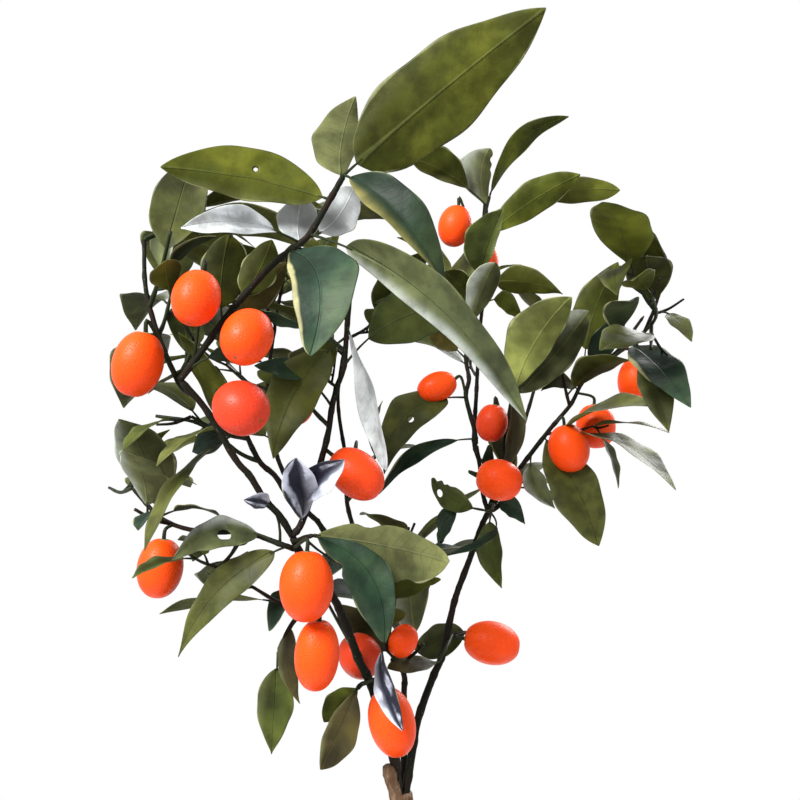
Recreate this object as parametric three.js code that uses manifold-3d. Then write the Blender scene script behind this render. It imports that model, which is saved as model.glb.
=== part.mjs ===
// A small kumquat tree in a plain clay pot: trunk, boughs and masses of twigs, leaves and fruit.
// Millimetres, +Z up. The origin is the middle of the pot's flat underside, and the front faces -Y.
import * as THREE from "three";
import { mergeVertices } from "three/addons/utils/BufferGeometryUtils.js";
import Module from "manifold-3d";

const wasm = await Module();
wasm.setup();

// ---- Driving sizes -------------------------------------------------------------------------

// Pot: foot, body, collar and filling
const POT_HEIGHT = 200;
const POT_FOOT_RADIUS = 74;
const POT_BODY_RADIUS = 96;
const POT_COLLAR_RADIUS = 105;
const POT_COLLAR_HEIGHT = 36;
const POT_WALL = 8;
const POT_FLOOR = 10;
const POT_EDGE = 3;
const POT_LIP = 5;
const POT_SHOULDER = 6;
const POT_SEGMENTS = 28;
const DRAIN_HOLES = 3;
const DRAIN_RADIUS = 5;
const DRAIN_CIRCLE = 40;
const DRAIN_SIDES = 8;
const SOIL_HEIGHT = 178;
const SOIL_CROWN = 1.5;
const SOIL_FLAT_RADIUS = 60;

// Clear gap between pieces that touch
const GAP = 0.3;

// Wood: the trunk's radii from foot to fork and its root flare, the radii of twigs and fruit
// stalks, and how finely limbs are made. ROOT_ALLOWANCE is the length of a leaf or twig that may
// be sunk in what carries it.
const TRUNK_FOOT_RADIUS = 6.6;
const TRUNK_FORK_RADIUS = 4.9;
const ROOT_FLARE = 5.5;
const ROOT_FLARE_HEIGHT = 0.13;
const ROOT_LOBES = 5;
const ROOT_LOBE_DEPTH = 0.16;
const TRUNK_SIDES = 12;
const BOUGH_SIDES = 6;
const STEM_SIDES = 4;
const TWIG_SIDES = 3;
const ROOT_ALLOWANCE = 5;
const SIMPLIFY_TOLERANCE = 0.06;
const STEP_LENGTH = 18;
const TWIG_ROOT_RADIUS = 1.4;
const TWIG_TIP_RADIUS = 1.2;
const PEDICEL_RADIUS = 0.7;

// Leaves: thickness at the midrib as a share of the length, the petiole's half thickness and its
// usual length, where along the blade it is widest and how pointed it is, the usual arch and fold,
// and the shares of the blade's length at which a laid-out and a seeded leaf have their corners
const LEAF_THICKNESS = 0.02;
const PETIOLE_RADIUS = 0.5;
const PETIOLE_LENGTH = 7;
const LEAF_WIDEST = 0.43;
const LEAF_POINTED = 1.75;
const LEAF_ARCH = 0.06;
const LEAF_FOLD = 0.15;
const LAID_OUT_ROWS = [0.3, 0.66];
const SEEDED_ROWS = [0.42];

// Fruits: how far above its centre the stalk meets one, and how far above that the stalk bends,
// as shares of its length
const FRUIT_CROWN = 0.42;
const STALK_KNEE = 0.22;
const FRUIT_SIDES = 7;
const FRUIT_ROWS = 5;

// Seeded growth: the leaves of a seeded twig, how many twigs and leaves are tried for each place,
// and the share of a seeded leaf that has to be hidden in the front view
const SEED = 41;
const TWIG_LEAVES = 5;
const TWIG_TRIES = 8;
const LEAF_TRIES = 12;
const HIDDEN_SHARE = 0.85;

// A seeded twig: its place along the stem, angle from the one before, length, and how strongly it
// runs forward along the stem, rises, and curves up at its tip
const TWIG_PLACES = [0.22, 1];
const TWIG_PLACE_SPREAD = 0.6;
const TWIG_SPIRAL = 2.399963;
const TWIG_SPIRAL_SPREAD = 0.8;
const TWIG_LENGTHS = [16, 34];
const TWIG_FORWARD = 0.5;
const TWIG_RISE = 0.25;
const TWIG_TIP_LIFT = 0.15;

// A seeded leaf: its place along the twig, angle from the one before, size and pose
const LEAF_PLACES = [0.3, 1];
const LEAF_SPIRAL = 2.513274;
const LEAF_FORWARD = [0.5, 1.1];
const LEAF_DROOP = 0.1;
const LEAF_TIP_SAG = 0.18;
const LEAF_LENGTHS = [48, 80];
const LEAF_BREADTHS = [0.32, 0.4];
const LEAF_TURNS = [-25, 25];
const LEAF_ARCHES = [0.04, 0.14];
const LEAF_FOLDS = [0.05, 0.3];

// Room kept clear round what has grown, and the points at which it is measured
const LEAF_ROOM = 6;
const FRUIT_ROOM = 2.5;
const LIMB_ROOM = 4;
const LIMB_PROBES = 24;
const FRUIT_PROBES = [-0.22, 0.22];
const LEAF_PROBES_ALONG = [0.28, 0.42, 0.56, 0.7, 0.85, 1];
const LEAF_PROBES_ACROSS = [-0.9, 0, 0.9];
const COVER_PROBES = [0.3, 0.45, 0.6, 0.75, 0.88];
const COVER_MARGIN = 2;

// The front of the crown is laid out as seen from an eye point straight in front of the trunk.
// A spot is [across, rise, depth]: across and rise are measured on the upright plane through the
// trunk, from the eye's own height, and depth then moves the spot along its line of sight.
// The front's open window is what lies within WINDOW_ACROSS to each side and under WINDOW_RISE.
// Seeded leaves keep inside an ellipsoid about CROWN_CENTRE.
const EYE_BACK = 430;
const EYE_HEIGHT = 515;
const WINDOW_ACROSS = 97;
const WINDOW_RISE = 163;
const CROWN_CENTRE = [0, 12, 505];
const CROWN_REACH = [152, 140, 190];

// ---- The limbs -----------------------------------------------------------------------------

// The trunk leans a little to the right and forks at the top, where a pruned stub stands to the left
const TRUNK_PATH = [[-9, 4, SOIL_HEIGHT + GAP], [-7, 3, 215], [-2, 1, 262], [1, 0, 300], [1, 0, 319]];
const STUB_PATH = [[0, -1, 309], [-2.5, -3, 320], [-6, -5, 334]];
const STUB_RADIUS = 3;

// Boughs: each runs on from the tip of the limb it grows from
const BOUGHS = [
  {
    name: "bough_left",
    radii: [2.3, 1.7],
    spots: [
      [-0.5, -198, -1], [-3, -180, -4], [-14, -144, -14], [-20.5, -130, -18], [-28, -110, -26],
      [-34, -98, -32], [-46, -84, -38], [-54, -68, -44],
    ],
  },
  {
    name: "bough_left_upper",
    radii: [1.5, 1.4],
    spots: [
      [-54, -68, -44], [-60, -58, -46], [-67.5, -50, -48], [-75, -38, -50], [-82, -30, -52],
      [-91.5, -13.5, -55], [-99.5, -1.5, -58], [-110, 10, -62],
    ],
  },
  {
    name: "bough_right",
    radii: [2.1, 1.5],
    spots: [
      [2.5, -198, 0], [6, -176.5, 4], [9, -159.5, 10], [16.5, -138.5, 20], [21, -128, 25],
      [25, -110, 31], [28.5, -96.5, 36], [34.5, -80.5, 43], [40, -65, 50], [44, -56, 54],
    ],
  },
  {
    name: "bough_right_tall",
    radii: [1.3, 1.15],
    spots: [[44, -56, 54], [41.5, -47, 56], [40, -34, 58], [38, -22, 60]],
  },
  {
    name: "bough_right_outer",
    radii: [1.35, 1.25],
    spots: [[44, -56, 54], [50.5, -51.5, 58], [60, -34, 64]],
  },
  {
    name: "bough_middle",
    radii: [1.6, 1.25],
    spots: [
      [1, -198, 3], [2, -180, 7], [2, -148, 10], [1.5, -135.5, 10], [-8, -115, 4], [-24, -88, -4],
      [-39, -64, -10], [-43, -59, -12], [-55, -49.5, -18],
    ],
  },
  {
    name: "bough_rear",
    radii: [2, 1.5],
    spots: [[1, -198, 4], [-1, -185, 12], [-4, -160, 28], [-8, -138, 44], [-12, -112, 58], [-14, -92, 70]],
  },
];

// ---- The masses ----------------------------------------------------------------------------
// Each mass has a stem of spots, and some have side twigs. A leaf or fruit grows from `at` a share
// of the stem's length (or of side twig `on`), and a leaf reaches to its `tip`. `turn` rolls it
// about its own length: at 0 the upper side faces the eye, at 180 the underside. A fruit hangs
// straight down but for its `lean` to the right and its `nod` to the front. `fill` is the number
// of seeded twigs that the stem or side twig grows besides.

const MASSES = [
  {
    name: "foliage_top_left",
    radii: [1.5, 1.2],
    stem: [
      [-110, 10, -62], [-99.5, 24, -64], [-84.5, 44.5, -67], [-64.5, 67, -70], [-51.5, 77, -73],
      [-44.5, 84, -75], [-34.5, 101, -78], [-28, 112.5, -80],
    ],
    leaves: [
      {
        at: 1, tip: [73, 196, -92], width: 36, turn: 180, petiole: 6.7, sweep: 0.01, widest: 0.4,
        pointed: 1.4,
      },
      {
        at: 0.97, tip: [-22.3, 151.7, -60], width: 18.6, turn: 178, petiole: 2.5, fold: 0.2,
        sweep: 0.051, uneven: 0.37, widest: 0.47, pointed: 1.5,
      },
      {
        at: 0.85, tip: [-119.8, 116.5, -84], width: 23.3, turn: 200, petiole: 3.1, fold: 0.1,
        sweep: -0.052, uneven: -0.23, widest: 0.47, pointed: 1.5,
      },
      {
        at: 0.6, tip: [-109.5, 86, -100], width: 18, turn: 48, petiole: 11.6, fold: 0.45, sweep: 0.081,
        twist: 40, uneven: -0.2, widest: 0.34, pointed: 1.5,
      },
      {
        at: 0.66, tip: [-23, 106.2, -58], width: 17, turn: 172, petiole: 8.3, arch: 0.1, sweep: -0.089,
        uneven: 0.01, widest: 0.56, pointed: 1.4,
      },
      {
        at: 0.6, tip: [-48.7, 101.8, -60], width: 18, turn: 186, petiole: 0.5, arch: 0.1, sweep: 0.053,
        uneven: -0.01, widest: 0.56, pointed: 1.4,
      },
      {
        at: 1, tip: [22.5, 58, -98], width: 17.3, turn: -25, petiole: 3.5, arch: 0.16, fold: 0.4,
        sweep: -0.007, twist: 60, uneven: -0.15, widest: 0.46, pointed: 1.7,
      },
      {
        at: 0.7, tip: [63.5, -10.5, -98], width: 18.5, turn: 24, petiole: 18, fold: 0.3, sweep: -0.127,
        twist: 24, uneven: -0.3, widest: 0.36, pointed: 1.35,
      },
      {
        at: 0.53, tip: [-44.5, 22, -104], width: 27, turn: 8, petiole: 1.1, arch: 0.14, sweep: -0.17,
        uneven: -0.2, widest: 0.5, pointed: 1.35,
      },
      {
        at: 0.25, tip: [-85.5, 82.8, -58], width: 20.6, turn: 184, petiole: 6.3, sweep: 0.044,
        uneven: -0.12, widest: 0.55, pointed: 1.5,
      },
      {
        at: 0.33, tip: [-64, 80, -56], width: 15.8, turn: 172, petiole: 0.6, sweep: -0.027,
        uneven: 0.02, widest: 0.5, pointed: 1.5,
      },
      {
        at: 0.2, tip: [-57, 69, -58], width: 15, turn: 215, petiole: 6.4, sweep: -0.098, uneven: -0.12,
        widest: 0.52, pointed: 1.5,
      },
      { at: 0.29, tip: [-48.2, 36, -74], width: 8, turn: 50, petiole: 12, sweep: -0.13, widest: 0.46 },
      {
        at: 0.05, tip: [-69, 19, -54], width: 10.5, turn: 35, petiole: 9.3, sweep: -0.249,
        uneven: -0.09, widest: 0.45,
      },
    ],
    fruits: [
      { at: 0.2, centre: [-76.5, 31.5, -83], length: 25, width: 21.5, lean: -20, nod: 40 },
      { at: 0.1, centre: [-102, 51, -80], length: 24, width: 20, lean: -10, nod: 20 },
    ],
    fill: 1,
  },
  {
    name: "foliage_far_left",
    radii: [1.4, 0.9],
    stem: [
      [-103, 2.4, -59.3], [-110, 8, -50], [-120, 30, -50], [-127, 55, -48], [-128, 80, -42],
    ],
    leaves: [],
    fruits: [
      { at: 0.3, centre: [-131, 18, -62], length: 29, width: 22, lean: -15, nod: 0 },
    ],
    fill: 6,
  },
  {
    name: "foliage_low_left",
    radii: [1.3, 1],
    stem: [
      [-51, -75, -43], [-60, -72, -47], [-78, -66, -36], [-98, -66, -26], [-118, -60, -12],
      [-134, -44, -2],
    ],
    leaves: [
      {
        at: 0.14, tip: [-111, -128.5, -50], width: 16.1, turn: 18, petiole: 5.4, sweep: 0.101,
        uneven: -0.07, widest: 0.35,
      },
      {
        at: 0.24, tip: [-114, -80, -64], width: 17, turn: 34, petiole: 6.3, sweep: 0.215, uneven: -0.25,
        widest: 0.42, pointed: 1.6,
      },
      {
        at: 0.2, tip: [-78, -49.8, -58], width: 10.1, turn: 40, petiole: 16.6, fold: 0.5, sweep: 0.29,
        uneven: -0.18, widest: 0.51,
      },
    ],
    fruits: [
      { at: 0.06, centre: [-46.8, -93, -60], length: 31, width: 23.6, lean: 0, nod: 5 },
      { at: 0.75, centre: [-120, -84, -20], length: 29, width: 22, lean: -8, nod: 0 },
    ],
    fill: 5,
  },
  {
    name: "foliage_centre_top",
    radii: [1.6, 1.1],
    stem: [
      [-54, -68, -44], [-50, -63, -43], [-45, -50, -41], [-39.5, -30.5, -38], [-36, -17, -36],
      [-34, -3.5, -34], [-31.5, 6.5, -32], [-28, 17, -30], [-26.5, 36.5, -28], [-23.5, 70, -26],
      [-24, 77.5, -26],
    ],
    leaves: [
      {
        at: 0.7, tip: [33, 47, -36], width: 26.8, turn: 196, petiole: 15.7, sweep: 0.123, uneven: -0.05,
        widest: 0.48, pointed: 1.6,
      },
      {
        at: 0.78, tip: [-63.4, -29.3, -44], width: 24.2, turn: 14, petiole: 9.9, sweep: 0.091,
        uneven: 0.05, widest: 0.42, pointed: 1.7,
      },
      {
        at: 0.5, tip: [-72.8, 17.3, -46], width: 15.7, turn: 52, petiole: 16.5, sweep: 0.176,
        uneven: -0.16, widest: 0.46,
      },
      {
        at: 0.8, tip: [-6.8, -35.5, -54], width: 14, turn: 58, petiole: 4, fold: 0.4, sweep: -0.14,
        twist: 34, widest: 0.6,
      },
      {
        at: 0.12, tip: [-52, -29, -62], width: 16.2, turn: 30, petiole: 0.7, fold: 0.55, sweep: 0.011,
        twist: 80, uneven: -0.21, widest: 0.6, pointed: 1.5,
      },
      {
        at: 0.12, tip: [-28, -29.8, -60], width: 14.6, turn: -30, petiole: 11.7, fold: 0.5,
        sweep: -0.096, twist: -50, uneven: 0.17, widest: 0.49,
      },
    ],
    fruits: [
      { at: 0.34, centre: [-22, -37, -38], length: 28.5, width: 21.5, lean: 52, nod: 8 },
    ],
    fill: 6,
  },
  {
    name: "foliage_centre_left",
    radii: [1.4, 1],
    stem: [
      [-55, -49.5, -18], [-62.5, -38, -22], [-70, -31, -25], [-77, -17, -30], [-84, 2, -36],
      [-92.5, 17, -42],
    ],
    twigs: [
      { at: 0.4, spots: [[-81, -26, -29], [-100, -12, -34], [-122, -8, -30]] },
    ],
    leaves: [
      { at: 0.66, tip: [-104, -26, -22], width: 15, turn: 30 },
    ],
    fruits: [
      { at: 0.86, centre: [-79.5, -4, -74], length: 25, width: 23, lean: 60, nod: 30 },
    ],
    fill: 3,
  },
  {
    name: "foliage_lower_left",
    radii: [1.3, 1],
    stem: [[-34, -98, -32], [-44, -101, -30], [-54, -112, -29], [-61, -126, -28]],
    leaves: [
      {
        at: 0.05, tip: [-65.7, -115.4, -40], width: 12.5, turn: 30, petiole: 13, sweep: 0.34,
        widest: 0.55,
      },
      {
        at: 0.7, tip: [-50.2, -151.9, -34], width: 10.8, turn: 32, petiole: 0.7, sweep: 0.077,
        uneven: -0.09, widest: 0.4,
      },
      {
        at: 1, tip: [-64.3, -177.2, -26], width: 17, turn: 4, petiole: 7.1, arch: 0.05, sweep: -0.004,
        uneven: -0.03, widest: 0.37, pointed: 1.9,
      },
    ],
    fruits: [
      { at: 0.2, centre: [-41.5, -127.5, -50], length: 32, width: 20.5, lean: -4, nod: 0 },
      { at: 0.12, centre: [-20, -128, -3], length: 24, width: 21.5, lean: 30, nod: -20 },
    ],
    fill: 4,
  },
  {
    name: "foliage_lower_front",
    radii: [1.2, 1],
    stem: [[-15, -141, -14], [-19, -142, -19], [-22, -145, -21]],
    leaves: [
      {
        at: 1, tip: [-39.8, -184.9, -22], width: 16, turn: 12, petiole: 0.8, sweep: -0.02,
        uneven: -0.25, widest: 0.5, pointed: 1.7,
      },
      {
        at: 0.8, tip: [-38, -161, -8], width: 13.5, turn: 160, petiole: 0.6, sweep: -0.031,
        uneven: 0.05, widest: 0.55,
      },
    ],
    fruits: [
      { at: 0.6, centre: [-4, -161, -29], length: 32.5, width: 22, lean: 15, nod: 4 },
    ],
    fill: 0,
  },
  {
    name: "foliage_lower_centre",
    radii: [1.2, 0.9],
    stem: [[1.5, -136, 10], [-2, -130, 2], [-7, -124, -8], [-8.5, -121, -16]],
    leaves: [
      {
        at: 1, tip: [1.3, -165.4, -50], width: 11.6, turn: 30, petiole: 4.1, fold: 0.6, sweep: 0.074,
        twist: 30, uneven: -0.31, widest: 0.52, pointed: 1.9,
      },
      { at: 0.3, tip: [-33, -102, 32], width: 16, turn: 20 },
    ],
    fruits: [
      { at: 0.35, centre: [1.5, -120.5, -8], length: 17, width: 14.5, lean: 150, nod: 0 },
    ],
    fill: 4,
  },
  {
    name: "foliage_low_right",
    radii: [1.2, 0.9],
    stem: [[23, -119, 28], [28, -117, 34], [34, -116, 37]],
    twigs: [
      { at: 0.3, spots: [[23, -124, 17], [19, -131, 8]] },
    ],
    leaves: [
      {
        at: 0.9, tip: [7.2, -124.6, 48], width: 19.5, turn: 24, petiole: 0.6, arch: 0.04, sweep: -0.05,
        uneven: 0.05, widest: 0.45, pointed: 1.5,
      },
      {
        at: 1, tip: [-6.3, -134.1, -12], width: 12.3, turn: 46, petiole: 0.7, sweep: -0.023, on: 0,
        uneven: -0.15, widest: 0.6,
      },
    ],
    fruits: [
      { at: 1, centre: [45.8, -121.5, 28], length: 30.5, width: 23, lean: 82, nod: 6 },
    ],
    fill: 0,
  },
  {
    name: "foliage_middle",
    radii: [1.2, 1],
    stem: [[-53, -71, -44], [-48, -69, -48], [-43, -67.5, -52]],
    leaves: [
      {
        at: 1, tip: [24.8, -80.6, -50], width: 25.4, turn: 176, petiole: 1.2, arch: 0.03, sweep: 0.029,
        uneven: -0.3, widest: 0.54, pointed: 1.35,
      },
      {
        at: 0.9, tip: [-7.2, -121.3, -66], width: 20.2, turn: -8, petiole: 2, sweep: -0.2, twist: -30,
        uneven: 0.21, widest: 0.53, pointed: 1.7,
      },
      {
        at: 0.5, tip: [20.4, -89.8, -24], width: 17.8, turn: 190, petiole: 38, sweep: -0.12,
        uneven: -0.06, widest: 0.45, pointed: 1.6,
      },
    ],
    fruits: [],
    fill: 0,
  },
  {
    name: "foliage_top_right",
    radii: [1.4, 0.9],
    stem: [
      [38, -22, 60], [37, -14, 62], [33, 1.5, 66], [34.5, 10.5, 68], [33, 21, 70], [35, 35, 72],
      [39, 55, 76], [40, 75, 80], [42.5, 92.5, 84], [45, 102.5, 86],
    ],
    leaves: [
      {
        at: 0.04, tip: [-10.5, -47, 48], width: 11.7, turn: 40, petiole: 9.2, sweep: 0.136,
        uneven: -0.04, widest: 0.46,
      },
      {
        at: 0.22, tip: [-8, -37, 40], width: 22.6, turn: 12, petiole: 9.2, sweep: 0.225, uneven: -0.03,
        widest: 0.38, pointed: 1.5,
      },
      { at: 0.44, tip: [12, 45, 56], width: 16, turn: 200 },
      {
        at: 0.62, tip: [22, 64.2, 60], width: 15.5, turn: 190, petiole: 0.6, sweep: -0.066,
        uneven: -0.02, widest: 0.55,
      },
      {
        at: 0.57, tip: [47.7, 68.9, 60], width: 19, turn: 205, petiole: 2, fold: 0.3, sweep: 0.016,
        uneven: -0.05, widest: 0.6, pointed: 1.6,
      },
      {
        at: 0.6, tip: [60.9, 41.8, 84], width: 13, turn: 186, petiole: 13.2, sweep: 0.3, uneven: 0.03,
        widest: 0.53,
      },
      {
        at: 0.68, tip: [81.5, 53, 78], width: 18.4, turn: 205, petiole: 10.6, sweep: 0.071, uneven: 0.1,
        widest: 0.33,
      },
      {
        at: 0.66, tip: [51.7, 95.2, 64], width: 19.4, turn: 10, petiole: 10.2, fold: 0.3, sweep: -0.042,
        uneven: -0.66, widest: 0.49, pointed: 1.5,
      },
      {
        at: 0.93, tip: [6.2, 120.2, 70], width: 18.4, turn: 178, petiole: 15.3, fold: 0.2, sweep: -0.07,
        uneven: -0.39, widest: 0.6, pointed: 1.4,
      },
      {
        at: 0.93, tip: [44.9, 126, 72], width: 24.6, turn: 160, petiole: 0.7, fold: 0.4, sweep: 0.141,
        uneven: 0.59, widest: 0.6, pointed: 1.5,
      },
      {
        at: 1, tip: [84.4, 141.8, 94], width: 16.6, turn: 226, petiole: 1.4, sweep: 0.135,
        uneven: -0.04, widest: 0.49,
      },
      {
        at: 0.8, tip: [90.2, 112.8, 84], width: 20.7, turn: 192, petiole: 8.4, sweep: 0.033,
        uneven: 0.07, widest: 0.54,
      },
      {
        at: 0.88, tip: [110, 105, 102], width: 15.9, turn: 184, petiole: 31, sweep: 0.063,
        uneven: -0.01, widest: 0.6,
      },
    ],
    fruits: [
      { at: 0.76, centre: [27.5, 87, 78], length: 25, width: 20.5, lean: -12, nod: 0 },
      { at: 0.2, centre: [18.5, 6.5, 63], length: 24, width: 17.5, lean: -68, nod: 10 },
    ],
    fill: 1,
  },
  {
    name: "foliage_right_middle",
    radii: [1.4, 1],
    stem: [[44, -56, 54], [46, -50, 56], [50, -40, 59], [52.5, -20, 61], [55, -4, 63], [57, 6, 64]],
    twigs: [
      { at: 0.14, spots: [[47, -53, 47], [45, -56, 38]] },
    ],
    leaves: [
      {
        at: 0.78, tip: [85.8, 51.6, 44], width: 27.7, turn: 184, petiole: 13.1, fold: 0.12,
        sweep: 0.074, uneven: 0.27, widest: 0.52, pointed: 1.6,
      },
      {
        at: 0.88, tip: [94.5, 44.5, 60], width: 30, turn: 176, petiole: 5, fold: 0.12, sweep: -0.027,
        uneven: 0.3, widest: 0.5, pointed: 1.5,
      },
      { at: 0.5, tip: [41, -30, 52], width: 17, turn: 8 },
      { at: 0.42, tip: [56.5, 3.5, 44], width: 17, turn: 56, petiole: 2, fold: 0.4, widest: 0.5 },
      {
        at: 0.8, tip: [50.8, -94.1, 28], width: 16, turn: 28, petiole: 6.6, fold: 0.2, sweep: 0.073,
        on: 0, uneven: -0.04, widest: 0.4, pointed: 1.8,
      },
      {
        at: 0.16, tip: [62.5, -62.2, 48], width: 14.4, turn: 40, petiole: 4.6, sweep: -0.3,
        uneven: -0.13, widest: 0.38,
      },
      {
        at: 0.9, tip: [15.7, -39.2, 40], width: 13.5, turn: 10, petiole: 9.6, sweep: -0.137, on: 0,
        uneven: -0.02, widest: 0.52, pointed: 1.5,
      },
      { at: 1, tip: [19, -72, 36], width: 12, turn: 16, petiole: 15, sweep: 0.3, on: 0, widest: 0.5 },
      { at: 1, tip: [22.5, -78, 4], width: 6.5, turn: 40, petiole: 14, sweep: -0.3, on: 0, widest: 0.5 },
    ],
    fruits: [
      { at: 0.34, centre: [49.5, -40, 43], length: 26, width: 23, lean: 76, nod: 12 },
      { at: 0.62, centre: [46, -11.5, 58], length: 22, width: 18.5, lean: -10, nod: 0 },
    ],
    fill: 0,
  },
  {
    name: "foliage_right_outer",
    radii: [1.4, 0.9],
    stem: [
      [60, -34, 64], [68, -23.5, 68], [75.5, -14, 72], [85.5, -2, 76], [91, 8.5, 79],
      [98, 15.5, 82], [110, 26, 84], [122, 42, 82],
    ],
    twigs: [
      { at: 0.72, spots: [[110, 24, 62], [122, 34, 26], [128, 42, -10], [126, 52, -42]], fill: 6 },
    ],
    leaves: [
      {
        at: 0.1, tip: [77.6, -54.2, 56], width: 13.7, turn: -20, petiole: 6.2, fold: 0.4, sweep: 0.17,
        uneven: 0.15, widest: 0.4,
      },
      {
        at: 0.22, tip: [99.5, -73, 56], width: 28.3, turn: -14, petiole: 2.1, sweep: -0.045,
        uneven: 0.14, widest: 0.49, pointed: 1.7,
      },
      {
        at: 0.52, tip: [70.5, 4.5, 70], width: 12.1, turn: 26, petiole: 1.8, sweep: 0.268,
        uneven: -0.04, widest: 0.38,
      },
      {
        at: 0.58, tip: [114, 44, 70], width: 17.2, turn: 30, petiole: 11.8, sweep: -0.089,
        uneven: -0.08, widest: 0.4,
      },
      {
        at: 0.6, tip: [109, 69, 100], width: 25.9, turn: 186, petiole: 20, sweep: 0.066, widest: 0.46,
        pointed: 1.6,
      },
    ],
    fruits: [
      { at: 0.32, centre: [84.5, -24, 60], length: 28, width: 24, lean: 12, nod: 0 },
      { at: 0.5, centre: [98, -13, 78], length: 27, width: 23.5, lean: 6, nod: 0 },
      { at: 0.85, centre: [118, 10, 78], length: 28, width: 22, lean: -6, nod: 0 },
    ],
    fill: 4,
  },
  {
    name: "foliage_rear_top",
    radii: [1.4, 0.9],
    stem: [[39.2, -29, 58.8], [37, -20, 67], [38, 0, 80], [40, 35, 96], [44, 75, 110], [42, 112, 118]],
    leaves: [],
    fruits: [
      { at: 0.95, centre: [41, 70, 130], length: 28, width: 22, lean: 0, nod: 0 },
    ],
    fill: 22,
  },
  {
    name: "foliage_rear_right",
    radii: [1.4, 0.9],
    stem: [[42.4, -59.6, 52.4], [46, -54, 63], [53, -40, 77], [62, -12, 100], [70, 16, 116], [74, 36, 126]],
    leaves: [],
    fruits: [
      { at: 0.8, centre: [73, 22, 116], length: 29, width: 22, lean: 0, nod: 0 },
    ],
    fill: 21,
  },
  {
    name: "foliage_rear_left",
    radii: [1.3, 0.9],
    stem: [[-49, -54.3, -15], [-53, -46, -4], [-62, -26, 8], [-66, 6, 34], [-62, 40, 56], [-56, 72, 68]],
    leaves: [],
    fruits: [
      { at: 0.6, centre: [-52, 0, 62], length: 29, width: 22, lean: 0, nod: 0 },
    ],
    fill: 9,
  },
  {
    name: "foliage_rear_centre",
    radii: [1.4, 0.9],
    stem: [[-14, -92, 70], [-26, -54, 84], [-26, -36, 90], [-31, 0, 98], [-27, 32, 104], [-24, 66, 108]],
    leaves: [],
    fruits: [
      { at: 0.35, centre: [-22, -36, 112], length: 29, width: 22, lean: 0, nod: 0 },
    ],
    fill: 18,
  },
  {
    name: "foliage_rear_low",
    radii: [1.3, 0.9],
    stem: [[-13, -102, 64], [-8, -92, 74], [-2, -85, 84], [10, -78, 96], [22, -70, 108]],
    leaves: [],
    fruits: [
      { at: 0.5, centre: [-7, -78, 112], length: 29, width: 22, lean: 0, nod: 0 },
    ],
    fill: 16,
  },
];

// ---- Colours -------------------------------------------------------------------------------

const CLAY = { color: 0xb5694a, roughness: 0.85, metalness: 0 };
const EARTH = { color: 0x3a2c22, roughness: 1, metalness: 0 };
const BARK = { color: 0x7a5a40, roughness: 0.9, metalness: 0 };
const GREEN_WOOD = { color: 0x2c3422, roughness: 0.6, metalness: 0 };
const FOLIAGE = { color: 0x5f7038, roughness: 0.5, metalness: 0 };

// ---- Shape helpers -------------------------------------------------------------------------

const UP = new THREE.Vector3(0, 0, 1);
const EYE = new THREE.Vector3(0, -EYE_BACK, EYE_HEIGHT);

function spotPoint([across, rise, depth]) {
  const reach = (EYE_BACK + depth) / EYE_BACK;
  return new THREE.Vector3(across * reach, depth, EYE_HEIGHT + rise * reach);
}

function sightPoint(point) {
  const reach = (EYE_BACK + point.y) / EYE_BACK;
  return { across: point.x / reach, rise: (point.z - EYE_HEIGHT) / reach, reach };
}

function curveThrough(points) {
  return new THREE.CatmullRomCurve3(points, false, "catmullrom", 0.5);
}

function acrossTo(direction, from) {
  return from.clone().addScaledVector(direction, -from.dot(direction)).normalize();
}

// Rings along a curve, each with a point, a tangent and two directions square to it
function ringsAlong(curve, steps) {
  const rings = [];
  let side = acrossTo(curve.getTangent(0), new THREE.Vector3(1, 0.2, 0));
  for (let i = 0; i <= steps; i += 1) {
    const t = i / steps;
    const tangent = curve.getTangent(t);
    side = acrossTo(tangent, side);
    const out = side.clone().cross(tangent);
    rings.push({ point: curve.getPoint(t), tangent, side, out });
  }
  return rings;
}

// Moves every vertex of a geometry and drops all but its positions
function remade(geometry, place) {
  const position = geometry.attributes.position;
  const vertex = new THREE.Vector3();
  for (let i = 0; i < position.count; i += 1) {
    vertex.fromBufferAttribute(position, i);
    const moved = place(vertex);
    position.setXYZ(i, moved.x, moved.y, moved.z);
  }
  geometry.deleteAttribute("normal");
  geometry.deleteAttribute("uv");
  return mergeVertices(geometry, 1e-4);
}

function solidOf(geometry) {
  return new wasm.Manifold(new wasm.Mesh({
    numProp: 3,
    vertProperties: new Float32Array(geometry.attributes.position.array),
    triVerts: new Uint32Array(geometry.index.array),
  }));
}

function geometryOf(solid) {
  const mesh = solid.getMesh();
  const geometry = new THREE.BufferGeometry();
  geometry.setAttribute("position", new THREE.BufferAttribute(mesh.vertProperties, mesh.numProp));
  geometry.setIndex(new THREE.BufferAttribute(mesh.triVerts, 1));
  return geometry;
}

function lerp(start, end, share) {
  return start + (end - start) * share;
}

// A limb follows a curve; radiusAt gives its radius at a share of its length and an angle.
// Where it is made `fat`, it is that much thicker and longer, to clear room round itself.
function limbSolid(curve, radiusAt, sides, fat = 0) {
  const steps = Math.max(2, Math.round(curve.getLength() / STEP_LENGTH));
  const rings = ringsAlong(curve, steps);
  const geometry = new THREE.CylinderGeometry(1, 1, 1, sides, steps);
  const bent = remade(geometry, (vertex) => {
    const row = Math.round((vertex.y + 0.5) * steps);
    const ring = rings[row];
    const radius = radiusAt(row / steps, Math.atan2(vertex.x, vertex.z)) + fat;
    const stretch = row === 0 ? -fat : row === steps ? fat : 0;
    return ring.point.clone()
      .addScaledVector(ring.tangent, stretch)
      .addScaledVector(ring.side, vertex.x * radius)
      .addScaledVector(ring.out, vertex.z * radius);
  });
  return solidOf(bent);
}

function taper([start, end]) {
  return (share) => lerp(start, end, share);
}

const TWIG_TAPER = taper([TWIG_ROOT_RADIUS, TWIG_TIP_RADIUS]);

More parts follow.
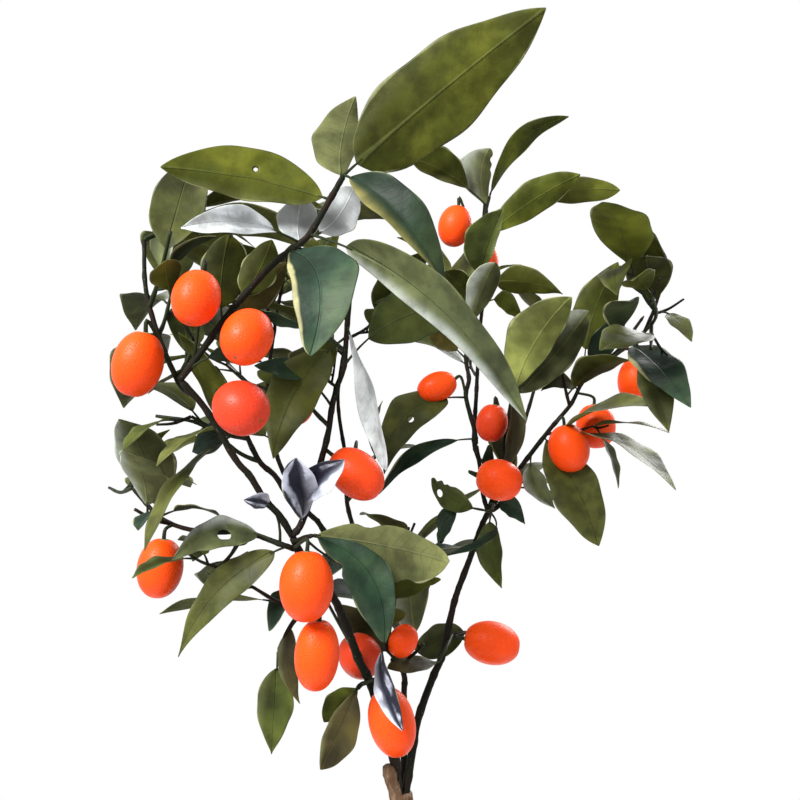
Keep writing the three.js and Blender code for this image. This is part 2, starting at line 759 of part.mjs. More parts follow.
// ---- Leaves --------------------------------------------------------------------------------

// Half breadth of the blade, as a share of half the leaf's width, from its base to its tip
function bladeOutline(share, widest, pointed) {
  const rise = widest * pointed;
  const fall = (1 - widest) * pointed;
  return (share / widest) ** rise * ((1 - share) / (1 - widest)) ** fall;
}

function makeLeaf(root, tip, shape, facing) {
  const reach = tip.clone().sub(root);
  const length = reach.length();
  const axis = reach.normalize();
  const face = acrossTo(axis, facing).applyAxisAngle(axis, THREE.MathUtils.degToRad(shape.turn ?? 0));
  return {
    root,
    axis,
    face,
    side: axis.clone().cross(face),
    length,
    width: shape.width,
    petiole: (shape.petiole ?? PETIOLE_LENGTH) / length,
    arch: shape.arch ?? LEAF_ARCH,
    fold: shape.fold ?? LEAF_FOLD,
    sweep: shape.sweep ?? 0,
    twist: THREE.MathUtils.degToRad(shape.twist ?? 0),
    uneven: shape.uneven ?? 0,
    widest: shape.widest ?? LEAF_WIDEST,
    pointed: shape.pointed ?? LEAF_POINTED,
    rowShares: shape.rowShares ?? LAID_OUT_ROWS,
  };
}

// A point of the leaf: along runs from 0 at the twig to 1 at the tip, across from -1 to 1. An
// uneven leaf is wider to one side of its midrib.
function leafPoint(leaf, along, across, lift = 0) {
  const blade = (along - leaf.petiole) / (1 - leaf.petiole);
  const outline = blade > 0 && blade < 1 ? bladeOutline(blade, leaf.widest, leaf.pointed) : 0;
  const half = leaf.width / 2 * (1 + leaf.uneven * Math.sign(across)) * outline;
  const bow = 4 * along * (1 - along) * leaf.length;
  const turn = leaf.twist * (along - 0.5);
  const side = leaf.side.clone().multiplyScalar(Math.cos(turn)).addScaledVector(leaf.face, Math.sin(turn));
  const face = leaf.face.clone().multiplyScalar(Math.cos(turn)).addScaledVector(leaf.side, -Math.sin(turn));
  return leaf.root.clone()
    .addScaledVector(leaf.axis, along * leaf.length)
    .addScaledVector(leaf.face, leaf.arch * bow)
    .addScaledVector(leaf.side, leaf.sweep * bow)
    .addScaledVector(side, across * Math.max(half, PETIOLE_RADIUS))
    .addScaledVector(face, leaf.fold * Math.abs(across) * half + lift);
}

// A leaf solid is a three-sided cone: two edges run along the margins, one under the midrib.
// Where the blade has more than one row, a row at the end of the petiole keeps that thin.
function leafSolid(leaf) {
  const blade = leaf.rowShares.map((share) => leaf.petiole + (1 - leaf.petiole) * share);
  const stations = blade.length > 1 ? [0, leaf.petiole, ...blade, 1] : [0, ...blade, 1];
  const rows = stations.length - 1;
  const firstBladeRow = rows - blade.length;
  const geometry = new THREE.CylinderGeometry(0, 1, 1, 3, rows, false, Math.PI);
  const bent = remade(geometry, (vertex) => {
    const row = Math.round((vertex.y + 0.5) * rows);
    const across = Math.sign(Math.round(vertex.x * 1000));
    const keel = row < rows && across === 0 ? 1 : 0;
    const depth = row >= firstBladeRow ? LEAF_THICKNESS * leaf.length : PETIOLE_RADIUS * 2;
    return leafPoint(leaf, stations[row], across, -keel * depth);
  });
  return solidOf(bent);
}

// ---- Fruits --------------------------------------------------------------------------------

function makeFruit(stemPoint, spec) {
  const lean = THREE.MathUtils.degToRad(spec.lean);
  const nod = THREE.MathUtils.degToRad(spec.nod);
  const axis = new THREE.Vector3(
    Math.sin(lean) * Math.cos(nod), -Math.sin(nod), -Math.cos(lean) * Math.cos(nod));
  return { root: stemPoint, centre: spotPoint(spec.centre), axis, length: spec.length, width: spec.width };
}

function fruitSolid(fruit) {
  const side = acrossTo(fruit.axis, new THREE.Vector3(0.3, 1, 0.2));
  const out = side.clone().cross(fruit.axis);
  const ball = new THREE.SphereGeometry(1, FRUIT_SIDES, FRUIT_ROWS);
  const body = remade(ball, (vertex) => fruit.centre.clone()
    .addScaledVector(fruit.axis, vertex.y * fruit.length / 2)
    .addScaledVector(side, vertex.x * fruit.width / 2)
    .addScaledVector(out, vertex.z * fruit.width / 2));
  return solidOf(body);
}

function pedicelCurve(fruit) {
  const crown = fruit.centre.clone().addScaledVector(fruit.axis, -fruit.length * FRUIT_CROWN);
  const knee = crown.clone().addScaledVector(fruit.axis, -fruit.length * STALK_KNEE);
  return curveThrough([fruit.root.clone(), knee, crown]);
}

// ---- Seeded growth -------------------------------------------------------------------------

function seededRandom(seed) {
  let state = seed;
  return () => {
    state = (state * 1664525 + 1013904223) % 4294967296;
    return state / 4294967296;
  };
}

const LEAF_PROBES = LEAF_PROBES_ALONG.flatMap(
  (along) => LEAF_PROBES_ACROSS.map((across) => [along, across]));

// Everything grown so far: probe points with the room they keep, and what the front view hides
const room = [];
const cover = [];

function keepLeafRoom(leaf) {
  for (const [along, across] of LEAF_PROBES) {
    room.push({ point: leafPoint(leaf, along, across), radius: LEAF_ROOM });
  }
}

function keepLimbRoom(curve) {
  for (let i = 0; i <= LIMB_PROBES; i += 1) {
    room.push({ point: curve.getPoint(i / LIMB_PROBES), radius: LIMB_ROOM });
  }
}

function keepFruitRoom(fruit) {
  for (const end of FRUIT_PROBES) {
    room.push({
      point: fruit.centre.clone().addScaledVector(fruit.axis, end * fruit.length),
      radius: fruit.width / 2 + FRUIT_ROOM,
    });
  }
}

function coverWithLeaf(leaf) {
  for (const along of COVER_PROBES) {
    const middle = leafPoint(leaf, along, 0);
    const seen = sightPoint(middle);
    const margins = leafPoint(leaf, along, 1).sub(leafPoint(leaf, along, -1));
    const toEye = EYE.clone().sub(middle).normalize();
    const breadth = margins.cross(leaf.axis).dot(toEye);
    cover.push({ ...seen, radius: Math.abs(breadth) / 2 / seen.reach + COVER_MARGIN });
  }
}

function coverWithFruit(fruit) {
  const seen = sightPoint(fruit.centre);
  cover.push({ ...seen, radius: fruit.width / 2 / seen.reach });
}

// Hidden from the front: behind what already shows, or outside the front's open window
function hiddenInFront(point) {
  const seen = sightPoint(point);
  if (Math.abs(seen.across) > WINDOW_ACROSS || seen.rise > WINDOW_RISE) return true;
  return cover.some((disc) => Math.hypot(disc.across - seen.across, disc.rise - seen.rise) < disc.radius);
}

function insideCrown(point) {
  const [x, y, z] = CROWN_CENTRE;
  const [reachX, reachY, reachZ] = CROWN_REACH;
  return ((point.x - x) / reachX) ** 2 + ((point.y - y) / reachY) ** 2 + ((point.z - z) / reachZ) ** 2 < 1;
}

function leafFits(leaf) {
  const probes = LEAF_PROBES.map(([along, across]) => leafPoint(leaf, along, across));
  if (!probes.every(insideCrown)) return false;
  const hidden = probes.filter(hiddenInFront).length;
  if (hidden < probes.length * HIDDEN_SHARE) return false;
  return probes.every((probe) => room.every((kept) => kept.point.distanceTo(probe) > kept.radius));
}

// Seeded twigs leave the stem in a spiral and rise a little; the last of several stands at its tip
function seededTwig(stem, order, count, random) {
  const place = lerp(...TWIG_PLACES, (order + TWIG_PLACE_SPREAD * random()) / count);
  const share = order > 0 && order === count - 1 ? 1 : place;
  const [ring] = ringsAlong(stem, 1);
  const tangent = stem.getTangent(share);
  const side = acrossTo(tangent, ring.side);
  const out = side.clone().cross(tangent);
  const angle = order * TWIG_SPIRAL + random() * TWIG_SPIRAL_SPREAD;
  const direction = tangent.clone().multiplyScalar(TWIG_FORWARD)
    .addScaledVector(side, Math.cos(angle))
    .addScaledVector(out, Math.sin(angle))
    .addScaledVector(UP, TWIG_RISE)
    .normalize();
  const length = lerp(...TWIG_LENGTHS, random());
  const root = stem.getPoint(share);
  const middle = root.clone().addScaledVector(direction, length * 0.5);
  const tip = root.clone().addScaledVector(direction, length).addScaledVector(UP, length * TWIG_TIP_LIFT);
  return curveThrough([root, middle, tip]);
}

// Leaves leave their twig in a spiral too, more forward towards its tip, and sag a little
function seededLeaf(twig, order, random) {
  const share = lerp(...LEAF_PLACES, order / (TWIG_LEAVES - 1));
  const tangent = twig.getTangent(share);
  const side = acrossTo(tangent, new THREE.Vector3(1, 0.2, 0));
  const out = side.clone().cross(tangent);
  const angle = order * LEAF_SPIRAL + random() * Math.PI * 2;
  const direction = tangent.clone().multiplyScalar(lerp(...LEAF_FORWARD, share))
    .addScaledVector(side, Math.cos(angle))
    .addScaledVector(out, Math.sin(angle))
    .addScaledVector(UP, -LEAF_DROOP)
    .normalize();
  const length = lerp(...LEAF_LENGTHS, random());
  const root = twig.getPoint(share);
  const shape = {
    width: length * lerp(...LEAF_BREADTHS, random()),
    turn: lerp(...LEAF_TURNS, random()),
    arch: lerp(...LEAF_ARCHES, random()),
    fold: lerp(...LEAF_FOLDS, random()),
    rowShares: SEEDED_ROWS,
  };
  const tip = root.clone().addScaledVector(direction, length).addScaledVector(UP, -length * LEAF_TIP_SAG);
  return makeLeaf(root, tip, shape, UP);
}

// ---- Growing the whole crown ---------------------------------------------------------------

function growMass(mass) {
  const stem = curveThrough(mass.stem.map(spotPoint));
  const twigs = (mass.twigs ?? []).map((twig) => curveThrough([
    stem.getPoint(twig.at), ...twig.spots.map(spotPoint)]));
  const leaves = mass.leaves.map((spec) => {
    const carrier = spec.on === undefined ? stem : twigs[spec.on];
    const root = carrier.getPoint(spec.at);
    const tip = spotPoint(spec.tip);
    return makeLeaf(root, tip, spec, EYE.clone().sub(root.clone().lerp(tip, 0.5)));
  });
  const fruits = mass.fruits.map((spec) => makeFruit(stem.getPoint(spec.at), spec));
  const twigFills = (mass.twigs ?? []).map((twig) => twig.fill ?? 0);
  return { ...mass, stem, twigs, twigFills, leaves, fruits, sprigs: [] };
}

// The first of a few seeded twigs whose middle and tip the front doesn't show
function hiddenTwig(carrier, order, count, random) {
  for (let i = 0; i < TWIG_TRIES; i += 1) {
    const twig = seededTwig(carrier, order, count, random);
    if ([0.5, 1].every((share) => hiddenInFront(twig.getPoint(share)))) return twig;
  }
  return undefined;
}

// Each place for a leaf tries a few directions and keeps the first that fits
function fillCarrier(mass, carrier, count, random) {
  for (let i = 0; i < count; i += 1) {
    const twig = hiddenTwig(carrier, i, count, random);
    if (twig === undefined) continue;
    const grown = [];
    for (let j = 0; j < TWIG_LEAVES; j += 1) {
      const tries = [];
      for (let k = 0; k < LEAF_TRIES; k += 1) tries.push(seededLeaf(twig, j, random));
      const leaf = tries.find(leafFits);
      if (leaf === undefined) continue;
      keepLeafRoom(leaf);
      grown.push(leaf);
    }
    if (grown.length > 0) mass.sprigs.push({ twig, leaves: grown });
  }
}

function fillMass(mass, random) {
  fillCarrier(mass, mass.stem, mass.fill, random);
  mass.twigs.forEach((twig, order) => fillCarrier(mass, twig, mass.twigFills[order], random));
}

const trunkCurve = curveThrough(TRUNK_PATH.map((point) => new THREE.Vector3(...point)));
const stubCurve = curveThrough(STUB_PATH.map((point) => new THREE.Vector3(...point)));
const boughs = BOUGHS.map((bough) => ({ ...bough, curve: curveThrough(bough.spots.map(spotPoint)) }));
const masses = MASSES.map(growMass);

for (const bough of boughs) keepLimbRoom(bough.curve);
for (const mass of masses) {
  keepLimbRoom(mass.stem);
  mass.twigs.forEach(keepLimbRoom);
  mass.leaves.forEach(keepLeafRoom);
  mass.leaves.forEach(coverWithLeaf);
  mass.fruits.forEach(keepFruitRoom);
  mass.fruits.forEach(coverWithFruit);
}
const random = seededRandom(SEED);
for (const mass of masses) fillMass(mass, random);

// ---- Solids --------------------------------------------------------------------------------

const group = new THREE.Group();

function addPiece(name, geometry, finish) {
  const mesh = new THREE.Mesh(geometry, new THREE.MeshStandardMaterial(finish));
  mesh.name = name;
  group.add(mesh);
}

function largestBody(solid) {
  const bodies = solid.decompose();
  return bodies.reduce((largest, body) => (body.volume() > largest.volume() ? body : largest));
}

function lathe(profile) {
  const points = profile.map(([radius, height]) => new THREE.Vector2(radius, height));
  const turned = new THREE.LatheGeometry(points, POT_SEGMENTS);
  turned.rotateX(Math.PI / 2);
  return remade(turned, (vertex) => vertex);
}

const COLLAR_FOOT = POT_HEIGHT - POT_COLLAR_HEIGHT;
const POT_MOUTH = POT_COLLAR_RADIUS - POT_WALL;

// Inner radius of the pot at a height
function potInside(height) {
  return lerp(POT_FOOT_RADIUS, POT_BODY_RADIUS, height / COLLAR_FOOT) - POT_WALL;
}

// The pot's profile, from the middle of its underside up the outside, over the lip and down inside
function potSolid() {
  const shell = solidOf(lathe([
    [0, 0], [POT_FOOT_RADIUS - POT_EDGE, 0], [POT_FOOT_RADIUS, POT_EDGE],
    [POT_BODY_RADIUS, COLLAR_FOOT], [POT_COLLAR_RADIUS - POT_EDGE, COLLAR_FOOT + 1],
    [POT_COLLAR_RADIUS - 1, COLLAR_FOOT + POT_EDGE + 1], [POT_COLLAR_RADIUS, POT_HEIGHT - POT_LIP],
    [POT_COLLAR_RADIUS - POT_EDGE, POT_HEIGHT], [POT_MOUTH + POT_EDGE, POT_HEIGHT],
    [POT_MOUTH, POT_HEIGHT - POT_EDGE], [POT_MOUTH - 1, SOIL_HEIGHT],
    [potInside(COLLAR_FOOT), COLLAR_FOOT - POT_SHOULDER], [potInside(POT_FLOOR), POT_FLOOR],
    [0, POT_FLOOR],
  ]));
  const holes = [];
  for (let i = 0; i < DRAIN_HOLES; i += 1) {
    const hole = new THREE.CylinderGeometry(DRAIN_RADIUS, DRAIN_RADIUS, POT_FLOOR * 3, DRAIN_SIDES);
    hole.rotateX(Math.PI / 2);
    hole.translate(DRAIN_CIRCLE, 0, 0);
    hole.rotateZ(i / DRAIN_HOLES * Math.PI * 2);
    holes.push(solidOf(remade(hole, (vertex) => vertex)));
  }
  return holes.reduce((pot, hole) => pot.subtract(hole), shell);
}

// The soil fills the pot to just under the lip, crowned so that its middle is flat
function soilGeometry() {
  return lathe([
    [0, POT_FLOOR + GAP], [potInside(POT_FLOOR) - GAP, POT_FLOOR + GAP],
    [potInside(COLLAR_FOOT) - GAP, COLLAR_FOOT - POT_SHOULDER],
    [POT_MOUTH - 2 - GAP, SOIL_HEIGHT - SOIL_CROWN], [SOIL_FLAT_RADIUS, SOIL_HEIGHT], [0, SOIL_HEIGHT],
  ]);
}

function trunkRadius(share, angle) {
  const flare = Math.exp(-share / ROOT_FLARE_HEIGHT);
  const lobes = 1 + ROOT_LOBE_DEPTH * Math.cos(ROOT_LOBES * angle) * flare;
  return (lerp(TRUNK_FOOT_RADIUS, TRUNK_FORK_RADIUS, share) + ROOT_FLARE * flare) * lobes;
}

// The trunk's foot ring is squared off level, so that it stands flat on the soil
function trunkSolid() {
  const column = limbSolid(trunkCurve, trunkRadius, TRUNK_SIDES);
  const stub = limbSolid(stubCurve, () => STUB_RADIUS, BOUGH_SIDES);
  return column.add(stub).trimByPlane([0, 0, 1], SOIL_HEIGHT + GAP);
}

addPiece("pot", geometryOf(potSolid()), CLAY);
addPiece("soil", soilGeometry(), EARTH);

const trunk = trunkSolid();
addPiece("trunk", geometryOf(trunk), BARK);

// Every later limb is cut clear of a slightly fatter copy of the earlier ones
let clearing = limbSolid(trunkCurve, trunkRadius, TRUNK_SIDES, GAP)
  .add(limbSolid(stubCurve, () => STUB_RADIUS, BOUGH_SIDES, GAP));
for (const bough of boughs) {
  const solid = largestBody(limbSolid(bough.curve, taper(bough.radii), BOUGH_SIDES).subtract(clearing));
  clearing = clearing.add(limbSolid(bough.curve, taper(bough.radii), BOUGH_SIDES, GAP));
  addPiece(bough.name, geometryOf(solid), GREEN_WOOD);
}

// Whether a solid keeps its gap to every limb and to other masses
function isClear(solid, others) {
  const clear = solid.minGap(clearing, GAP) >= GAP;
  return clear && others.every((other) => solid.minGap(other, GAP) >= GAP);
}

// A leaf or twig is judged past its root, which is sunk in what carries it
function isClearPastRoot(solid, root, axis, others) {
  const past = solid.trimByPlane([axis.x, axis.y, axis.z], axis.dot(root) + ROOT_ALLOWANCE);
  const clear = isClear(past, others);
  past.delete();
  return clear;
}

function joined(parts) {
  const whole = wasm.Manifold.union(parts);
  const cleared = whole.subtract(clearing);
  const body = largestBody(cleared).simplify(SIMPLIFY_TOLERANCE);
  for (const spent of [...parts, whole, cleared]) spent.delete();
  return body;
}

// First each mass's stem, laid-out twigs, fruits on their pedicels and laid-out leaves
const framed = [];
for (const mass of masses) {
  const parts = [limbSolid(mass.stem, taper(mass.radii), STEM_SIDES)];
  for (const twig of mass.twigs) parts.push(limbSolid(twig, TWIG_TAPER, TWIG_SIDES));
  for (const fruit of mass.fruits) {
    parts.push(limbSolid(pedicelCurve(fruit), () => PEDICEL_RADIUS, TWIG_SIDES), fruitSolid(fruit));
  }
  for (const leaf of mass.leaves) {
    const blade = leafSolid(leaf);
    if (isClearPastRoot(blade, leaf.root, leaf.axis, framed)) parts.push(blade);
  }
  framed.push(joined(parts));
}

// Then the seeded sprigs, each wherever it clears every other mass
masses.forEach((mass, index) => {
  const others = framed.filter((solid) => solid !== framed[index]);
  const parts = [framed[index]];
  for (const sprig of mass.sprigs) {
    const twig = limbSolid(sprig.twig, TWIG_TAPER, TWIG_SIDES);
    if (!isClearPastRoot(twig, sprig.twig.getPoint(0), sprig.twig.getTangent(0), others)) continue;
    parts.push(twig);
    for (const leaf of sprig.leaves) {
      const blade = leafSolid(leaf);
      if (isClearPastRoot(blade, leaf.root, leaf.axis, others)) parts.push(blade);
    }
  }
  framed[index] = joined(parts);
  addPiece(mass.name, geometryOf(framed[index]), FOLIAGE);
});

export default group;
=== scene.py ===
"""A small kumquat tree in a clay pot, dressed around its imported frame."""
import functools
import itertools
import math
from types import SimpleNamespace

import bmesh
import bpy
import numpy as np
from bpy.props import FloatProperty, FloatVectorProperty, IntProperty, PointerProperty
from mathutils import Matrix, Vector, noise


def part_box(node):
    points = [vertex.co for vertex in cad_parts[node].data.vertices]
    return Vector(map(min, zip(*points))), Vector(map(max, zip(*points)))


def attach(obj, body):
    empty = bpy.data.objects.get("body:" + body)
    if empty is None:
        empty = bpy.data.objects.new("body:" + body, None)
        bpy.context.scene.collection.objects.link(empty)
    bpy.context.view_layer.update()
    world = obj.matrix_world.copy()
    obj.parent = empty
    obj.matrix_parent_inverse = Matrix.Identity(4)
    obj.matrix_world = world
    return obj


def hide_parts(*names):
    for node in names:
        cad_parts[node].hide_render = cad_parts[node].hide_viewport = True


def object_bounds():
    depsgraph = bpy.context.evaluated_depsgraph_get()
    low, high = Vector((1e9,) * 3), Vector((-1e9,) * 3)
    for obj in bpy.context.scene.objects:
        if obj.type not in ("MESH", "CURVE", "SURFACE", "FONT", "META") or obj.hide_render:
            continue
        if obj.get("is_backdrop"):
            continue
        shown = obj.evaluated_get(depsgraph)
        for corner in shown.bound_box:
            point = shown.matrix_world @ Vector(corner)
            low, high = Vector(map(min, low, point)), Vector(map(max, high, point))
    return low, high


bl_info = {
    "name": "Kumquat tree",
    "version": (1, 0, 0),
    "blender": (4, 5, 0),
    "location": "3D View > Sidebar > Kumquat",
    "description": "Dresses a small potted kumquat tree: pot, soil, bark, twigs, leaves and fruits",
    "category": "Object",
}

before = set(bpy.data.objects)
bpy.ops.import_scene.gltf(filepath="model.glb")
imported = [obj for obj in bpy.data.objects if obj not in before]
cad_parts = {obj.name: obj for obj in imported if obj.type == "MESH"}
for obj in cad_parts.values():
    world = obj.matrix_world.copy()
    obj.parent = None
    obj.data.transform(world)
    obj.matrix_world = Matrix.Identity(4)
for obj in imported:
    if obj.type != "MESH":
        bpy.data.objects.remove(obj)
CAD_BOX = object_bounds()
_, POT_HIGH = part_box("pot")
_, SOIL_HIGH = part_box("soil")
TRUNK_LOW, TRUNK_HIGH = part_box("trunk")

# The tree is grown in millimetres; the meshes are in metres
MM = 0.001
BODY = "root"

# Points of a mesh that are closer than this, in metres, are one
WELD = 1e-6


# ---- Driving sizes of the tree, in millimetres -------------------------------------------------

SOIL_HEIGHT = SOIL_HIGH.z / MM
GAP = 0.3

# Limbs: radii, the root flare, the leaf scars' spacing, swelling and reach, and the room between
# two rings of points
TRUNK_FOOT_RADIUS = 6.6
TRUNK_FORK_RADIUS = 4.9
ROOT_FLARE = 5.5
ROOT_FLARE_HEIGHT = 0.13
ROOT_LOBES = 5
ROOT_LOBE_DEPTH = 0.16
STUB_RADIUS = 3
TWIG_RADII = (1.1, 0.75)
FINE_TWIG_RADII = (0.8, 0.55)
PETIOLE_RADIUS = 0.55
PEDICEL_RADIUS = 0.75
NODE_SPACING = 15
NODE_SWELL = 0.16
NODE_REACH = 1.7
RING_STEP = 1.6
TWIG_STEP = 2.2

# Leaves: usual petiole, arch and fold, where the blade is widest and how pointed it is, the rows
# and columns of a laid-out and of a seeded blade, and how long a bite in a margin is
PETIOLE_LENGTH = 7
LEAF_ARCH = 0.06
LEAF_FOLD = 0.15
LEAF_WIDEST = 0.43
LEAF_POINTED = 1.75
LAID_GRID = (22, 6)
SEEDED_GRID = (13, 4)
BITE_LENGTH = 0.05

# Fruits: where the stalk meets one and where it bends, as shares of the fruit's length
FRUIT_CROWN = 0.42
STALK_KNEE = 0.22

# Seeded twigs and leaves, by the same rule as the frame's solids
SEED = 41
TWIG_LEAVES = 5
TWIG_TRIES = 8
LEAF_TRIES = 12
HIDDEN_SHARE = 0.85
TWIG_PLACES = (0.22, 1)
TWIG_PLACE_SPREAD = 0.6
TWIG_SPIRAL = 2.399963
TWIG_SPIRAL_SPREAD = 0.8
TWIG_LENGTHS = (16, 34)
TWIG_FORWARD = 0.5
TWIG_RISE = 0.25
TWIG_TIP_LIFT = 0.15
LEAF_PLACES = (0.3, 1)
LEAF_SPIRAL = 2.513274
LEAF_FORWARD = (0.5, 1.1)
LEAF_DROOP = 0.1
LEAF_TIP_SAG = 0.18
LEAF_LENGTHS = (48, 80)
LEAF_BREADTHS = (0.32, 0.4)
LEAF_TURNS = (-25, 25)
LEAF_ARCHES = (0.04, 0.14)
LEAF_FOLDS = (0.05, 0.3)

# Finer twigs on the seeded ones, with smaller leaves
FINE_SEED = 97
FINE_TWIGS = 2
FINE_LEAVES = 3
FINE_HIDDEN_SHARE = 0.85
FINE_TWIG_LENGTHS = (9, 18)
FINE_LEAF_LENGTHS = (30, 52)

# Room kept clear round what has grown, the points at which it is measured, and the margin round a
# laid-out leaf that counts as covered by it in the front view
LEAF_ROOM = 6
FINE_LEAF_ROOM = 3.5
FRUIT_ROOM = 2.5
LIMB_ROOM = 4
LIMB_PROBES = 24
FRUIT_PROBES = (-0.22, 0.22)
LEAF_PROBES_ALONG = (0.28, 0.42, 0.56, 0.7, 0.85, 1)
LEAF_PROBES_ACROSS = (-0.9, 0, 0.9)
COVER_PROBES = (0.3, 0.45, 0.6, 0.75, 0.88)
COVER_MARGIN = 2

# A point stands before a laid-out leaf or fruit where it is nearer to the eye by FRONT_REACH of
# EYE_BACK, and a seeded leaf with FRONT_PROBES such points or more is left out
FRONT_REACH = 0.0025
FRONT_PROBES = 5

# What differs between the seeded twigs and the finer ones
SEEDED_RULE = SimpleNamespace(twig_lengths=TWIG_LENGTHS, leaves=TWIG_LEAVES, leaf_lengths=LEAF_LENGTHS,
                              hidden_share=HIDDEN_SHARE, room=LEAF_ROOM)
FINE_RULE = SimpleNamespace(twig_lengths=FINE_TWIG_LENGTHS, leaves=FINE_LEAVES,
                            leaf_lengths=FINE_LEAF_LENGTHS, hidden_share=FINE_HIDDEN_SHARE,
                            room=FINE_LEAF_ROOM)

# The front of the crown is laid out as seen from an eye point straight in front of the trunk.
# A spot is (across, rise, depth): across and rise are measured on the upright plane through the
# trunk, from the eye's own height, and depth then moves the spot along its line of sight.
EYE_BACK = 430
EYE_HEIGHT = 515
VIEW_HALF_WIDTH = 200
EYE = np.array((0, -EYE_BACK, EYE_HEIGHT))

# The window of the front view whose gaps seeded leaves stay out of, and the oval they stay in
WINDOW_ACROSS = 97
WINDOW_RISE = 163
CROWN_CENTRE = np.array((0, 12, 505))
CROWN_REACH = np.array((152, 140, 190))

# Upwards, and the direction from which the sides of limbs and seeded leaves are worked out
UP = np.array((0.0, 0.0, 1.0))
SIDE_HINT = np.array((1, 0.2, 0))


# ---- The tree laid out ---------------------------------------------------------------------------


def bough(name, radii, *spots):
    """A tapering limb through spots."""
    return SimpleNamespace(name=name, radii=radii, spots=spots)


def leaf(at, tip, width, turn, tint, on=None, petiole=PETIOLE_LENGTH, arch=LEAF_ARCH,
         fold=LEAF_FOLD, sweep=0, twist=0, uneven=0, widest=LEAF_WIDEST, pointed=LEAF_POINTED,
         hole=None, bites=()):
    """A leaf from a share of its stem (or of side twig `on`) to a tip. At turn 0 its upper side faces
    the eye, at 180 its underside. A hole has a share of the blade and a half length; each bite in the
    margin has a share, a side (-1 or 1) and a depth as a share of the half width."""
    return SimpleNamespace(**locals())


def fruit(at, centre, length, width, lean, nod, ripeness=0.35):
    """A fruit that hangs down but for its lean to the right and its nod to the front, in degrees."""
    return SimpleNamespace(**locals())


def twig(at, spots, fill=0):
    """A side twig from a share of its stem, with its number of seeded twigs."""
    return SimpleNamespace(**locals())


def mass(name, radii, fill, stem, leaves=(), fruits=(), twigs=()):
    """A mass of foliage on one stem, with its number of seeded twigs."""
    return SimpleNamespace(**locals())


TRUNK_PATH = ((-9, 4, SOIL_HEIGHT + GAP), (-7, 3, 215), (-2, 1, 262), (1, 0, 300), (1, 0, 319))
STUB_PATH = ((0, -1, 309), (-2.5, -3, 320), (-6, -5, 334))

BOUGHS = [
    bough(
        "bough_left", (2.3, 1.7),
        (-0.5, -198, -1), (-3, -180, -4), (-14, -144, -14), (-20.5, -130, -18), (-28, -110, -26),
        (-34, -98, -32), (-46, -84, -38), (-54, -68, -44),
    ),
    bough(
        "bough_left_upper", (1.5, 1.4),
        (-54, -68, -44), (-60, -58, -46), (-67.5, -50, -48), (-75, -38, -50), (-82, -30, -52),
        (-91.5, -13.5, -55), (-99.5, -1.5, -58), (-110, 10, -62),
    ),
    bough(
        "bough_right", (2.1, 1.5),
        (2.5, -198, 0), (6, -176.5, 4), (9, -159.5, 10), (16.5, -138.5, 20), (21, -128, 25),
        (25, -110, 31), (28.5, -96.5, 36), (34.5, -80.5, 43), (40, -65, 50), (44, -56, 54),
    ),
    bough(
        "bough_right_tall", (1.3, 1.15),
        (44, -56, 54), (41.5, -47, 56), (40, -34, 58), (38, -22, 60),
    ),
    bough(
        "bough_right_outer", (1.35, 1.25),
        (44, -56, 54), (50.5, -51.5, 58), (60, -34, 64),
    ),
    bough(
        "bough_middle", (1.6, 1.25),
        (1, -198, 3), (2, -180, 7), (2, -148, 10), (1.5, -135.5, 10), (-8, -115, 4), (-24, -88, -4),
        (-39, -64, -10), (-43, -59, -12), (-55, -49.5, -18),
    ),
    bough(
        "bough_rear", (2, 1.5),
        (1, -198, 4), (-1, -185, 12), (-4, -160, 28), (-8, -138, 44), (-12, -112, 58), (-14, -92, 70),
    ),
]

